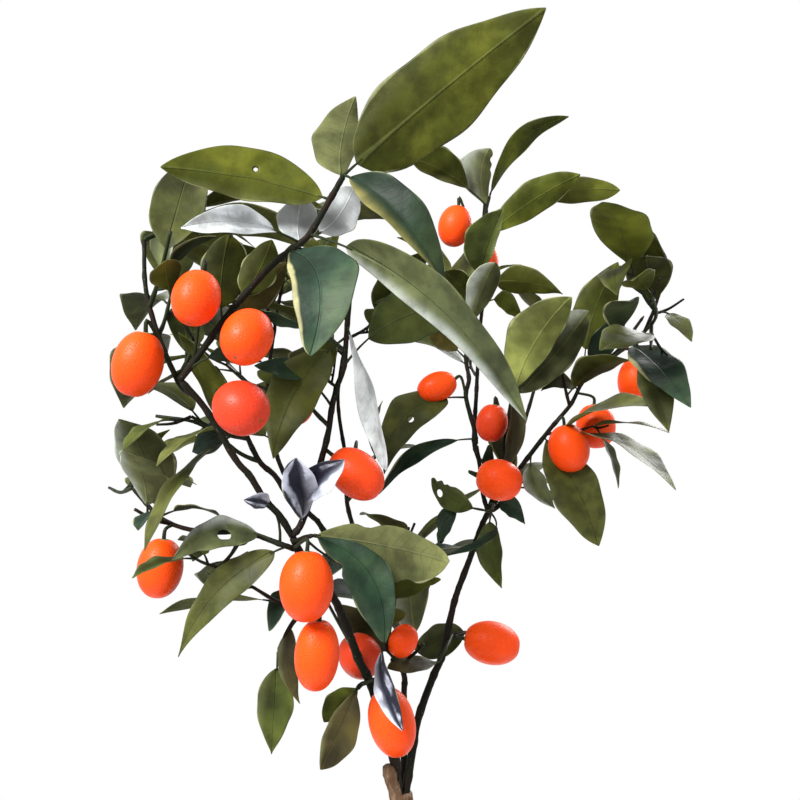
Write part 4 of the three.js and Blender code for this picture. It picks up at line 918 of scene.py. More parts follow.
def seeded_leaf(path, order, rule, draws):
    """A seeded leaf leaves its twig in a spiral, more forward towards its tip, and sags a little."""
    share = lerp(LEAF_PLACES, order / (rule.leaves - 1))
    tangent = path.tangent(share)
    side = across_to(tangent, SIDE_HINT)
    out = np.cross(side, tangent)
    angle = order * LEAF_SPIRAL + next(draws) * math.tau
    direction = unit(tangent * lerp(LEAF_FORWARD, share) + side * math.cos(angle)
                     + out * math.sin(angle) - UP * LEAF_DROOP)
    length = lerp(rule.leaf_lengths, next(draws))
    width = length * lerp(LEAF_BREADTHS, next(draws))
    turn = lerp(LEAF_TURNS, next(draws))
    arch = lerp(LEAF_ARCHES, next(draws))
    fold = lerp(LEAF_FOLDS, next(draws))
    root = path.point(share)
    tip = root + direction * length - UP * length * LEAF_TIP_SAG
    return make_leaf(root, tip, leaf(share, tip, width, turn, None, arch=arch, fold=fold), UP)


@functools.cache
def crown():
    """The whole crown, grown once."""
    return Crown()


# ---- Settings ------------------------------------------------------------------------------------


def colour(name, default, description):
    """A colour setting."""
    return FloatVectorProperty(name=name, description=description, subtype="COLOR", size=3,
                               min=0, max=1, default=default)


def distance(name, description, default):
    """A size setting, in metres."""
    return FloatProperty(name=name, description=description, default=default, unit="LENGTH", min=0)


class PotSettings(bpy.types.PropertyGroup):
    """Sizes of the pot, and the colours of the clay and the soil"""
    height: distance("Height", "From the floor to the top of the lip", POT_HIGH.z)
    collar_radius: distance("Collar radius", "Outside radius of the collar", POT_HIGH.x)
    collar_height: distance("Collar height", "Height of the collar band", 0.036)
    body_radius: distance("Body radius", "Outside radius just under the collar", 0.096)
    foot_radius: distance("Foot radius", "Outside radius at the floor", 0.074)
    wall: distance("Wall", "Thickness of the wall", 0.008)
    floor: distance("Floor", "Thickness of the floor", 0.01)
    hole_radius: distance("Drain hole radius", "Radius of each drain hole", 0.005)
    hole_circle: distance("Drain hole circle", "Distance of the holes from the middle", 0.04)
    holes: IntProperty(name="Drain holes", description="Number of drain holes", default=3, min=0)
    clay: colour("Clay", (0.3, 0.097, 0.045), "Fired clay where it is clean and dry")
    pale_clay: colour("Pale clay", (0.44, 0.21, 0.135), "Fired clay where it is rubbed or dusty")
    bloom: colour("Bloom", (0.47, 0.4, 0.33), "Dried salts on the clay")
    soil: colour("Soil", (0.028, 0.017, 0.011), "Moist soil")
    dry_soil: colour("Dry soil", (0.1, 0.066, 0.043), "Dry crumbs of soil")


class WoodSettings(bpy.types.PropertyGroup):
    """Colours and relief of the trunk, boughs and twigs"""
    bark: colour("Bark", (0.085, 0.042, 0.018), "Brown bark of the trunk")
    old_bark: colour("Old bark", (0.13, 0.082, 0.05), "Weathered ridges of the bark")
    green_bark: colour("Green bark", (0.006, 0.008, 0.004), "Dark green bark of the boughs")
    brown_bark: colour("Brown bark", (0.012, 0.007, 0.005), "Brown streaks on the boughs")
    twig_green: colour("Twig green", (0.014, 0.02, 0.008), "Green of the thin twigs")
    relief: distance("Relief", "Depth of the bark's ridges on the trunk", 0.0007)


class LeafSettings(bpy.types.PropertyGroup):
    """Thickness, waves and veins of the leaves"""
    thickness: distance("Thickness", "Thickness of a blade", 0.0003)
    wave: FloatProperty(name="Wave", description="Height of the margin's waves, as a share of length",
                        default=0.014, min=0)
    veins: IntProperty(name="Veins", description="Side veins on each half of a blade", default=13, min=1)


class FruitSettings(bpy.types.PropertyGroup):
    """Colours of the fruits and their caps"""
    rind: colour("Rind", (0.72, 0.062, 0.003), "Ripe rind")
    deep_rind: colour("Deep rind", (0.62, 0.036, 0.003), "Rind towards the far end")
    red_rind: colour("Red rind", (0.46, 0.03, 0.012), "Rind of the ripest fruits")
    calyx: colour("Calyx", (0.11, 0.12, 0.035), "Green cap at the stalk")


class StageSettings(bpy.types.PropertyGroup):
    """Floor and lights"""
    floor_radius: distance("Floor radius", "Radius of the round floor", 0.45)
    floor: colour("Floor", (0.9, 0.9, 0.9), "Colour of the floor")
    sky: FloatProperty(name="Sky", description="Strength of the even light", default=1, min=0)
    key: FloatProperty(name="Key", description="Power of the key light", default=76, min=0, unit="POWER")
    fill: FloatProperty(name="Fill", description="Power of the back light", default=36, min=0,
                        unit="POWER")


GROUPS = {
    "kumquat_pot": PotSettings,
    "kumquat_wood": WoodSettings,
    "kumquat_leaves": LeafSettings,
    "kumquat_fruits": FruitSettings,
    "kumquat_stage": StageSettings,
}

# A leaf's tint gives its colours above and below
TINTS = {
    "olive": ((0.052, 0.059, 0.013), (0.052, 0.059, 0.009)),
    "pale": ((0.05, 0.056, 0.016), (0.085, 0.092, 0.035)),
    "light": ((0.09, 0.1, 0.03), (0.15, 0.17, 0.045)),
    "lime": ((0.036, 0.042, 0.006), (0.04, 0.047, 0.006)),
    "green": ((0.05, 0.064, 0.011), (0.062, 0.074, 0.01)),
    "dark": ((0.012, 0.032, 0.015), (0.032, 0.043, 0.013)),
    "teal": ((0.02, 0.042, 0.024), (0.04, 0.056, 0.026)),
    "grey": ((0.068, 0.081, 0.034), (0.08, 0.089, 0.035)),
    # The next, near-white tint is a painted reflection of the bright sky in glossy blades
    "silver": ((0.27, 0.285, 0.29), (0.55, 0.57, 0.57)),
    "brown": ((0.04, 0.032, 0.009), (0.06, 0.048, 0.011)),
    "rolled": ((0.012, 0.026, 0.013), (0.08, 0.08, 0.02)),
    "withered": ((0.022, 0.024, 0.04), (0.02, 0.022, 0.034)),
}

# The colour that one margin of a tint goes over to, how much, and how far in from the margin it starts.
# For rolled it is the underside's own colour where the blade turns over; for the other tints it is a
# painted sheen of reflected light.
MARGINS = {
    "grey": ((0.36, 0.39, 0.35), 0.85, 0.1),
    "teal": ((0.4, 0.37, 0.18), 0.8, 0.86),
    "rolled": ((0.17, 0.155, 0.05), 0.95, 0.05),
    "silver": ((0.55, 0.58, 0.6), 0.3, 0.2),
    "withered": ((0.55, 0.58, 0.68), 0.9, 0),
    "dark": ((0.05, 0.07, 0.04), 0.3, 0.5),
}
# The other tints' margin: a pale painted highlight along one margin
USUAL_MARGIN = ((0.16, 0.17, 0.07), 0.35, 0.45)

# How strongly a tint shows its side veins
VEIN_STRENGTHS = {"pale": 0.4, "silver": 0.35, "withered": 0.2}
USUAL_VEINS = 0.05

# How strongly the margin's colour also streaks a dried blade lengthwise, as painted streaks of reflected
# light
STREAKS = {"withered": 0.75, "silver": 0.3}

# The tints that the seeded twigs take in turn
SEEDED_TINTS = ("green", "grey", "olive", "light", "green", "teal", "olive", "lime")


# ---- Shader building -----------------------------------------------------------------------------


class Value:
    """A shader value. Python's operators on it add Math nodes to its finish."""

    def __init__(self, finish, socket):
        self.finish = finish
        self.socket = socket

    def maths(self, operation, *values):
        """A Math node on values."""
        return self.finish.value("ShaderNodeMath", {"operation": operation}, dict(enumerate(values)))

    def __add__(self, other):
        return self.maths("ADD", self, other)

    def __radd__(self, other):
        return self.maths("ADD", other, self)

    def __sub__(self, other):
        return self.maths("SUBTRACT", self, other)

    def __rsub__(self, other):
        return self.maths("SUBTRACT", other, self)

    def __mul__(self, other):
        return self.maths("MULTIPLY", self, other)

    def __rmul__(self, other):
        return self.maths("MULTIPLY", other, self)

    def __abs__(self):
        return self.maths("ABSOLUTE", self)

    def fraction(self):
        """What is over a whole number."""
        return self.maths("FRACT", self)

    def sine(self):
        """The sine of an angle in radians."""
        return self.maths("SINE", self)

    def ramp(self, low, high):
        """0 up to low, 1 from high on, and smooth between; low may be over high."""
        settings = {"interpolation_type": "SMOOTHSTEP"}
        inputs = {"Value": self, "From Min": low, "From Max": high}
        return self.finish.value("ShaderNodeMapRange", settings, inputs)


class Finish:
    """A material being made, with its Principled shader."""

    def __init__(self, name, **constants):
        self.material = bpy.data.materials.new(name)
        self.material.use_nodes = True
        self.tree = self.material.node_tree
        self.shader = self.tree.nodes["Principled BSDF"]
        self.set(**constants)

    def set(self, **inputs):
        """Sets or links the shader's sockets, named with underscores for spaces."""
        for name, value in inputs.items():
            self.feed(self.shader.inputs[name.replace("_", " ")], value)

    def feed(self, socket, value):
        """Links a value to a socket, or sets a constant on it."""
        if isinstance(value, Value):
            value = value.socket
        if isinstance(value, bpy.types.NodeSocket):
            self.tree.links.new(value, socket)
        elif hasattr(value, "__len__") and len(value) == 3 and socket.type == "RGBA":
            socket.default_value = (*value, 1)
        else:
            socket.default_value = value

    def add(self, kind, settings=None, inputs=None):
        """Adds a node: its settings first, then the values or links of its sockets."""
        node = self.tree.nodes.new(kind)
        for name, value in (settings or {}).items():
            setattr(node, name, value)
        for name, value in (inputs or {}).items():
            self.feed(node.inputs[name], value)
        return node

    def value(self, kind, settings=None, inputs=None, output=0):
        """Adds a node and wraps one of its outputs."""
        return Value(self, self.add(kind, settings, inputs).outputs[output])

    def place(self, stretch=(1, 1, 1)):
        """Object coordinates, stretched."""
        coordinates = self.add("ShaderNodeTexCoord").outputs["Object"]
        return self.add("ShaderNodeMapping", inputs={"Vector": coordinates, "Scale": stretch}).outputs[0]

    def noise(self, scale, detail=2, stretch=(1, 1, 1), distortion=0):
        """A cloudy pattern."""
        inputs = {"Vector": self.place(stretch), "Scale": scale, "Detail": detail,
                  "Distortion": distortion}
        return self.value("ShaderNodeTexNoise", inputs=inputs)

    def cells(self, scale, stretch=(1, 1, 1)):
        """A pattern of cells, as the distance from the nearest cell's middle."""
        inputs = {"Vector": self.place(stretch), "Scale": scale}
        return self.value("ShaderNodeTexVoronoi", inputs=inputs)

    def tone(self):
        """The tone that each small shape in a joined piece was dealt, from 0 to 1."""
        return self.value("ShaderNodeAttribute", {"attribute_name": "tone"}, output="Fac")

    def shape_place(self):
        """The piece's own two coordinates."""
        split = self.add("ShaderNodeSeparateXYZ", inputs={0: self.add("ShaderNodeUVMap").outputs[0]})
        return Value(self, split.outputs[0]), Value(self, split.outputs[1])

    def mix(self, factor, first, second):
        """One colour going over to another."""
        inputs = {0: factor, 6: first, 7: second}
        return self.add("ShaderNodeMix", {"data_type": "RGBA"}, inputs).outputs[2]

    def shade(self, colour_in, bright):
        """A colour made lighter or darker by a value."""
        inputs = {0: colour_in, 3: bright}
        return self.add("ShaderNodeVectorMath", {"operation": "SCALE"}, inputs).outputs[0]

    def bump(self, height, depth, strength, below=None):
        """Fine relief, on top of the relief below it."""
        inputs = {"Height": height, "Distance": depth, "Strength": strength}
        if below is not None:
            inputs["Normal"] = below
        return self.add("ShaderNodeBump", inputs=inputs).outputs[0]


# ---- Finishes ------------------------------------------------------------------------------------


def clay_finish(pot):
    """Fired clay: turning marks, paler rubbed patches, fine pits and a bloom of salts."""
    finish = Finish("fired_clay", Specular_IOR_Level=0.25)
    cloud = finish.noise(14, 4)
    fine = finish.noise(160, 3)
    rings = finish.noise(30, 2, stretch=(0.4, 0.4, 5))
    salts = finish.noise(9, 6, distortion=0.6).ramp(0.56, 0.72) * finish.noise(70, 3).ramp(0.4, 0.65)
    grit = finish.cells(420).ramp(0.16, 0.04)
    base = finish.mix(cloud.ramp(0.35, 0.7), tuple(pot.clay), tuple(pot.pale_clay))
    base = finish.mix(salts * 0.55, base, tuple(pot.bloom))
    base = finish.mix(grit * fine.ramp(0.5, 0.6) * 0.5, base, (0.16, 0.05, 0.03))
    bright = 0.82 + rings * 0.3 + fine * 0.12
    finish.set(Base_Color=finish.shade(base, bright), Roughness=0.78 + cloud * 0.18)
    low = finish.bump(rings, 0.0008, 0.5)
    finish.set(Normal=finish.bump(fine + grit * -0.7, 0.0004, 0.6, low))
    return finish.material


def soil_finish(pot):
    """Moist crumbly soil with drier crumbs."""
    finish = Finish("potting_soil", Specular_IOR_Level=0.2)
    crumbs = finish.cells(170)
    cloud = finish.noise(45, 4)
    dry = (finish.tone() * 0.8 + cloud * 0.6).ramp(0.45, 1.1)
    base = finish.mix(dry, tuple(pot.soil), tuple(pot.dry_soil))
    finish.set(Base_Color=finish.shade(base, 0.7 + crumbs * 0.9), Roughness=0.95)
    finish.set(Normal=finish.bump(crumbs + cloud, 0.0015, 0.9))
    return finish.material


def bark_finish(wood):
    """Brown bark: long cracks, pale ridges, and a green cast in cloudy patches."""
    finish = Finish("trunk_bark", Specular_IOR_Level=0.25)
    streaks = finish.noise(420, 5, stretch=(1, 1, 0.16), distortion=0.5)
    cloud = finish.noise(60, 4)
    dots = finish.cells(330, stretch=(1, 1, 0.6)).ramp(0.2, 0.1)
    base = finish.mix(streaks.ramp(0.42, 0.7), tuple(wood.bark), tuple(wood.old_bark))
    base = finish.mix(cloud.ramp(0.5, 0.72) * 0.7, base, tuple(wood.green_bark))
    base = finish.mix(dots * 0.5, base, (0.3, 0.22, 0.15))
    finish.set(Base_Color=finish.shade(base, 0.5 + streaks), Roughness=0.82)
    finish.set(Normal=finish.bump(streaks + dots * 0.4, 0.0007, 0.9))
    return finish.material


def bough_finish(wood):
    """Dark green and brown bark of the boughs, with fine lengthwise streaks and pale dots."""
    finish = Finish("bough_bark", Specular_IOR_Level=0.08)
    streaks = finish.noise(700, 4, stretch=(1, 1, 0.2), distortion=0.4)
    cloud = finish.noise(75, 3)
    dots = finish.cells(520).ramp(0.16, 0.08)
    base = finish.mix(cloud.ramp(0.4, 0.62), tuple(wood.brown_bark), tuple(wood.green_bark))
    base = finish.mix(streaks.ramp(0.55, 0.8) * 0.5, base, tuple(wood.twig_green))
    base = finish.mix(dots * 0.4, base, (0.16, 0.13, 0.08))
    finish.set(Base_Color=finish.shade(base, 0.6 + streaks * 0.8), Roughness=0.6 + streaks * 0.2)
    finish.set(Normal=finish.bump(streaks, 0.00035, 0.8))
    return finish.material


def twig_finish(wood):
    """Green young wood, browner on some twigs."""
    finish = Finish("young_wood", Specular_IOR_Level=0.08)
    streaks = finish.noise(900, 3, stretch=(1, 1, 0.3))
    brown = (finish.tone() + streaks * 0.4).ramp(0.5, 1.1)
    base = finish.mix(brown, tuple(wood.twig_green), tuple(wood.brown_bark))
    finish.set(Base_Color=finish.shade(base, 0.7 + streaks * 0.6), Roughness=0.5)
    finish.set(Normal=finish.bump(streaks, 0.0002, 0.7))
    return finish.material


def leaf_finish(name, base, tint, veins, upper):
    """A blade's surface: its midrib, side veins, mottling, lighter margin and dead specks. The lighter
    margin is mostly a painted sheen, with a painted pale rim and, on some tints, painted streaks of
    reflection.
    """
    finish = Finish(name, Specular_IOR_Level=0.15 if upper else 0.06)
    side, along = finish.shape_place()
    side = side * 2 - 1
    across = abs(side)
    off = across * (along * math.pi).sine()
    wobble = finish.noise(60, 1)
    patches = finish.noise(24, 3, distortion=0.4)
    mottle = finish.noise(120, 4)
    net = finish.noise(620, 2)
    tone = finish.tone()
    midrib = off.ramp(0.04, 0.008)
    run = (along * veins + wobble * 2.6 - off * 1.6 + off * off * 0.6).fraction()
    side_veins = abs(run - 0.5).ramp(0.06, 0.01) * across.ramp(1, 0.5) * along.ramp(0.99, 0.8)
    light = tuple(min(1, part * 1.5 + 0.016) for part in base)
    deep = tuple(part * 0.36 for part in base)
    warm = tuple(min(1, part * 1.55 + lift) for part, lift in zip(base, (0.022, 0.018, 0)))
    shown = finish.mix(patches.ramp(0.45, 0.66) * 0.8, base, deep)
    shown = finish.mix(patches.ramp(0.5, 0.3) * (0.5 + tone * 0.5), shown, warm)
    tips = (across.ramp(0.9, 1) * 0.4 + along.ramp(0.86, 1) * 0.6) * mottle.ramp(0.42, 0.6)
    shown = finish.mix(tips, shown, warm)
    # One margin goes over to its tint's colour: a painted sheen, except on rolled blades, where it is the
    # underside's own colour
    margin, strength, start = MARGINS.get(tint, USUAL_MARGIN)
    shine = (side + (patches - 0.5) * 1.4).ramp(start, 1)
    shown = finish.mix(shine * (strength if upper else strength * 0.6), shown, margin)
    if tint in STREAKS:
        # Painted streaks of reflected light running along the blade
        streaks = (side * 6 + patches * 17 + mottle * 4).sine().ramp(0.1, 0.9) * mottle.ramp(0.34, 0.6)
        shown = finish.mix(streaks * STREAKS[tint], shown, margin)
    vein_colour = deep if tint in VEIN_STRENGTHS else light
    shown = finish.mix(side_veins * VEIN_STRENGTHS.get(tint, USUAL_VEINS), shown, vein_colour)
    shown = finish.mix(midrib * (0.3 if upper else 0.5), shown, light)
    # A painted pale rim light along the very edge of the blade
    shown = finish.mix(across.ramp(0.965, 0.995) * patches.ramp(0.4, 0.6) * 0.5, shown, (0.3, 0.31, 0.17))
    specks = finish.cells(210).ramp(0.13, 0.05) * mottle.ramp(0.55, 0.62)
    shown = finish.mix(specks * 0.7, shown, (0.06, 0.035, 0.012))
    bright = 0.46 + tone * 0.32 + mottle.ramp(0.34, 0.66) * 0.44 + net * 0.2
    finish.set(Base_Color=finish.shade(shown, bright))
    finish.set(Roughness=(0.42 if upper else 0.6) + mottle * 0.16)
    sink = -1 if upper else 1
    relief = (midrib * 1.4 + side_veins * 0.1) * sink + net * 0.2 + mottle * 1.6 + wobble * 4
    finish.set(Normal=finish.bump(relief, 0.0005, 0.7))
    glow = finish.add("ShaderNodeBsdfTranslucent", inputs={0: (*warm, 1)})
    both = finish.add("ShaderNodeMixShader",
                      inputs={0: 0.22, 1: finish.shader.outputs[0], 2: glow.outputs[0]})
    output = finish.tree.nodes["Material Output"]
    finish.feed(output.inputs["Surface"], both.outputs[0])
    return finish.material


def rind_finish(fruits):
    """Glossy orange rind with oil pits, redder towards the far end, and a brown dot there."""
    finish = Finish("ripe_rind", Specular_IOR_Level=0.14)
    _, along = finish.shape_place()
    pits = finish.cells(900)
    cloud = finish.noise(70, 2)
    deep = along.ramp(0.15, 0.95) * 0.55 + cloud.ramp(0.35, 0.75) * 0.25
    base = finish.mix(deep, tuple(fruits.rind), tuple(fruits.deep_rind))
    base = finish.mix(finish.tone().ramp(0.3, 1) * 0.85, base, tuple(fruits.red_rind))
    base = finish.mix(along.ramp(0.984, 0.994), base, (0.22, 0.06, 0.012))
    base = finish.mix(along.ramp(0.05, 0.015) * 0.6, base, (0.5, 0.22, 0.02))
    finish.set(Base_Color=finish.shade(base, 0.92 + pits * 0.18))
    finish.set(Roughness=0.34 + cloud * 0.12)
    finish.set(Normal=finish.bump(pits.ramp(0.05, 0.4) + cloud * 0.8, 0.00025, 0.55))
    return finish.material


def calyx_finish(fruits):
    """Green caps with brown spots."""
    finish = Finish("calyx", Roughness=0.6)
    cloud = finish.noise(500, 2)
    base = finish.mix(cloud.ramp(0.4, 0.7), tuple(fruits.calyx), (0.16, 0.1, 0.05))
    finish.set(Base_Color=base, Normal=finish.bump(cloud, 0.0002, 0.6))
    return finish.material


def floor_finish(stage):
    """The plain matt floor."""
    return Finish("studio_floor", Base_Color=tuple(stage.floor), Roughness=0.9,
                  Specular_IOR_Level=0.1).material


# ---- Making pieces -------------------------------------------------------------------------------


def add_object(name, data):
    """Puts a mesh, light or camera in the scene."""
    made = bpy.data.objects.new(name, data)
    bpy.context.scene.collection.objects.link(made)
    return made


def mesh_of(bm, name):
    """Ends a bmesh and gives its mesh."""
    mesh = bpy.data.meshes.new(name)
    bm.to_mesh(mesh)
    bm.free()
    return mesh


def show(name, mesh, materials, slot):
    """Puts a finished mesh in the scene as a piece of the tree."""
    for material in materials:
        mesh.materials.append(material)
    mesh.shade_smooth()
    piece = add_object(name, mesh)
    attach(piece, BODY)
    return piece


def apply_modifiers(piece):
    """Bakes a piece's modifiers into its mesh."""
    graph = bpy.context.evaluated_depsgraph_get()
    mesh = bpy.data.meshes.new_from_object(piece.evaluated_get(graph))
    piece.modifiers.clear()
    piece.data = mesh


def smooth_more(piece):
    """Splits each of a piece's faces once more, and smooths it."""
    modifier = piece.modifiers.new("smooth", "SUBSURF")
    modifier.levels = modifier.render_levels = 1
    modifier.use_limit_surface = False


class Batch:
    """Many small shapes joined in one mesh, each with its two coordinates and its tone."""

    def __init__(self):
        self.points, self.faces, self.places, self.tones = [], [], [], []
        self.count = 0

    def add(self, points, faces, places, tone):
        """Joins one more shape to the rest."""
        self.points.append(points)
        self.faces += [tuple(corner + self.count for corner in face) for face in faces]
        self.places.append(places)
        self.tones.append(np.full(len(points), tone))
        self.count += len(points)

    def mesh(self, name):
        """The joined mesh."""
        mesh = bpy.data.meshes.new(name)
        mesh.from_pydata((np.vstack(self.points) * MM).tolist(), [], self.faces)
        places = np.vstack(self.places)
        corners = np.zeros(len(mesh.loops), int)
        mesh.loops.foreach_get("vertex_index", corners)
        mesh.uv_layers.new(name="place").data.foreach_set("uv", places[corners].ravel())
        tones = mesh.attributes.new("tone", "FLOAT", "POINT")
        tones.data.foreach_set("value", np.concatenate(self.tones))
        return mesh


def grid_faces(rows, columns, closed=False):
    """Faces of a grid of points, row after row; a closed grid joins its last column to its first."""
    faces = []
    width = columns if closed else columns + 1
    for row in range(rows):
        for column in range(columns):
            beside = (column + 1) % width
            faces.append((row * width + column, row * width + beside,
                          (row + 1) * width + beside, (row + 1) * width + column))
    return faces


def tube_faces(rows, columns):
    """Faces of a tube of rings of points, closed at both ends."""
    last = rows * columns
    ends = [tuple(range(columns)), tuple(range(last + columns - 1, last - 1, -1))]
    return [face[::-1] for face in grid_faces(rows, columns, closed=True)] + ends


def add_tube(batch, path, radius_at, sides, steps, tone):
    """A thin limb along a path, closed at both ends."""
    angles = np.arange(sides) * math.tau / sides
    rings = [point + (side * np.cos(angles)[:, None] + out * np.sin(angles)[:, None]) * radius_at(share)
             for share, point, side, out in rings_along(path, steps)]
    places = [(angle / math.tau, row / steps) for row in range(steps + 1) for angle in angles]
    batch.add(np.vstack(rings), tube_faces(steps, sides), places, tone)


def taper(radii):
    """A limb's radius at a share of its length, the same all round."""
    return lambda share, angle=0: lerp(radii, share)


# ---- Pot and soil --------------------------------------------------------------------------------

# The pot's outline, in metres: the slope of its rims, how far the collar and the mouth lean, how
# far under its top the collar is widest, and how far down the shoulder reaches inside; then the
# rounding of its edges and the parts of a full turn
RIM = 0.003
LEAN = 0.001
LIP_DROP = 0.005
SHOULDER_DROP = 0.006
ROUNDING = 0.0012
ROUNDING_STEPS = 3
ROUNDING_ANGLE = math.radians(25)
POT_STEPS = 128
DRAIN_STEPS = 32

# The soil's top: its rings and parts of a turn, and in metres how far it sinks, its lumps and
# grains, and where it rises again round the trunk's foot. SOIL_LAYERS and BARK_LAYERS give the
# falloff, the step and the number of a noise's layers
SOIL_RINGS = 44
SOIL_STEPS = 150
SOIL_EDGE_GAP = 0.0005
SOIL_SINK = 0.0016
SOIL_LAYERS = (0.9, 2.1, 4)
LUMP_SCALE = 55
LUMP_HEIGHT = 0.0016
GRAIN_SCALE = 210
GRAIN_HEIGHT = 0.0006
FOOT_PLACE = Vector((TRUNK_LOW.x * 0.75 + TRUNK_HIGH.x * 0.25, 0.004, 0))
FOOT_REACH = 0.02

# Crumbs: how far they stay from the soil's edge, in metres, and in millimetres their least size,
# what is added to it at most, and how far they stay from the trunk
CRUMB_SEED = 5
CRUMBS = 1500
CRUMB_EDGE_GAP = 0.003
CRUMB_SIZE = 0.5
CRUMB_SPREAD = 1.8
CRUMB_FLATNESS = 0.75
CRUMB_TRUNK_GAP = 17


def spin_profile(bm, profile, steps):
    """Turns a closed-off profile of (radius, height) once round the upright axis."""
    corners = [bm.verts.new((radius, 0, height)) for radius, height in profile]
    edges = [bm.edges.new(pair) for pair in zip(corners, corners[1:])]
    bmesh.ops.spin(bm, geom=corners + edges, cent=(0, 0, 0), axis=(0, 0, 1), dvec=(0, 0, 0),
                   angle=math.tau, steps=steps, use_merge=True, use_duplicate=False)
    bmesh.ops.remove_doubles(bm, verts=bm.verts, dist=WELD)
    bmesh.ops.recalc_face_normals(bm, faces=bm.faces)


def pot_inside(pot, height):
    """Inner radius of the pot's body at a height."""
    share = height / (pot.height - pot.collar_height)
    return lerp((pot.foot_radius, pot.body_radius), share) - pot.wall


def drain_cutters(pot):
    """Upright pins that cut the drain holes."""
    bm = bmesh.new()
    for order in range(pot.holes):
        turn = Matrix.Rotation(order / pot.holes * math.tau, 4, "Z")
        place = turn @ Matrix.Translation((pot.hole_circle, 0, pot.floor / 2))
        bmesh.ops.create_cone(bm, cap_ends=True, segments=DRAIN_STEPS, radius1=pot.hole_radius,
                              radius2=pot.hole_radius, depth=pot.floor * 3, matrix=place)
    return add_object("drain_cutters", mesh_of(bm, "drain_cutters"))


class KUMQUAT_OT_pot(bpy.types.Operator):
    """Turns the clay pot, with its collar, rounded lip and drain holes"""
    bl_idname = "kumquat.pot"
    bl_label = "Clay pot"

    def execute(self, context):
        pot = context.scene.kumquat_pot
        collar_foot = pot.height - pot.collar_height
        mouth = pot.collar_radius - pot.wall
        bm = bmesh.new()
        spin_profile(bm, [
            (0, 0), (pot.foot_radius - RIM, 0), (pot.foot_radius, RIM),
            (pot.body_radius, collar_foot), (pot.collar_radius - RIM, collar_foot + LEAN),
            (pot.collar_radius - LEAN, collar_foot + RIM + LEAN),
            (pot.collar_radius, pot.height - LIP_DROP), (pot.collar_radius - RIM, pot.height),
            (mouth + RIM, pot.height), (mouth, pot.height - RIM), (mouth - LEAN, SOIL_HIGH.z),
            (pot_inside(pot, collar_foot), collar_foot - SHOULDER_DROP),
            (pot_inside(pot, pot.floor), pot.floor), (0, pot.floor),
        ], POT_STEPS)
        piece = show("clay_pot", mesh_of(bm, "clay_pot"), [clay_finish(pot)], "pot")
        cutter = drain_cutters(pot)
        holes = piece.modifiers.new("drain_holes", "BOOLEAN")
        holes.operation = "DIFFERENCE"
        holes.object = cutter
        apply_modifiers(piece)
        bpy.data.objects.remove(cutter)
        rounding = piece.modifiers.new("rounding", "BEVEL")
        rounding.width = ROUNDING
        rounding.segments = ROUNDING_STEPS
        rounding.limit_method = "ANGLE"
        rounding.angle_limit = ROUNDING_ANGLE
        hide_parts("pot")
        return {"FINISHED"}


def soil_height(x, y, top):
    """Height of the uneven soil at a place. It rises a little towards the trunk's foot."""
    place = Vector((x, y, 0))
    lumps = (noise.fractal(place * LUMP_SCALE, *SOIL_LAYERS) * LUMP_HEIGHT
             + noise.noise(place * GRAIN_SCALE) * GRAIN_HEIGHT)
    near = max(0, 1 - (place - FOOT_PLACE).length / FOOT_REACH)
    return top - SOIL_SINK + lumps + SOIL_SINK * near


class KUMQUAT_OT_soil(bpy.types.Operator):
    """Fills the pot with crumbly soil"""
    bl_idname = "kumquat.soil"
    bl_label = "Soil"

    def execute(self, context):
        pot = context.scene.kumquat_pot
        collar_foot = pot.height - pot.collar_height
        gap = GAP * MM
        edge = SOIL_HIGH.x - SOIL_EDGE_GAP
        top = [(edge * (1 - ring / SOIL_RINGS), SOIL_HIGH.z) for ring in range(SOIL_RINGS + 1)]
        bm = bmesh.new()
        spin_profile(bm, [
            (0, pot.floor + gap), (pot_inside(pot, pot.floor) - gap, pot.floor + gap),
            (pot_inside(pot, collar_foot) - gap, collar_foot - SHOULDER_DROP), *top,
        ], SOIL_STEPS)
        for corner in bm.verts:
            if corner.co.z > SOIL_HIGH.z - WELD:
                corner.co.z = soil_height(corner.co.x, corner.co.y, SOIL_HIGH.z)
        finish = soil_finish(pot)
        piece = show("soil_filling", mesh_of(bm, "soil_filling"), [finish], "soil")
        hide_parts("soil")
        self.crumbs(edge, finish)
        return {"FINISHED"}

    def crumbs(self, edge, finish):
        """Loose crumbs sunk in the top of the soil."""
        ball = bmesh.new()
        bmesh.ops.create_icosphere(ball, subdivisions=1, radius=1)
        points = np.array([corner.co for corner in ball.verts])
        faces = [tuple(corner.index for corner in face.verts) for face in ball.faces]
        ball.free()
        draws = seeded_random(CRUMB_SEED)
        batch = Batch()
        for _ in range(CRUMBS):
            reach = math.sqrt(next(draws)) * (edge - CRUMB_EDGE_GAP) / MM
            angle = next(draws) * math.tau
            x, y = reach * math.cos(angle), reach * math.sin(angle)
            size = CRUMB_SIZE + CRUMB_SPREAD * next(draws) ** 3
            lumpy = np.array([size * (0.7 + 0.5 * next(draws)) for _ in points])[:, None]
            z = soil_height(x * MM, y * MM, SOIL_HIGH.z) / MM + size * 0.1
            clod = points * lumpy * (1, 1, CRUMB_FLATNESS) + (x, y, z)
            if math.hypot(x - TRUNK_PATH[0][0], y - TRUNK_PATH[0][1]) > CRUMB_TRUNK_GAP:
                batch.add(clod, faces, np.zeros((len(clod), 2)), next(draws))
        show("soil_crumbs", batch.mesh("soil_crumbs"), [finish], "soil")


# ---- Trunk and boughs ----------------------------------------------------------------------------

TRUNK_SIDES = 48
STUB_SIDES = 24
BOUGH_SIDES = 20
STEM_SIDES = 14
LEAST_RINGS = 6

# How much of its radius a limb keeps at its cut end
TRUNK_BLUNT = 0.9
STUB_BLUNT = 0.75
BOUGH_BLUNT = 0.4

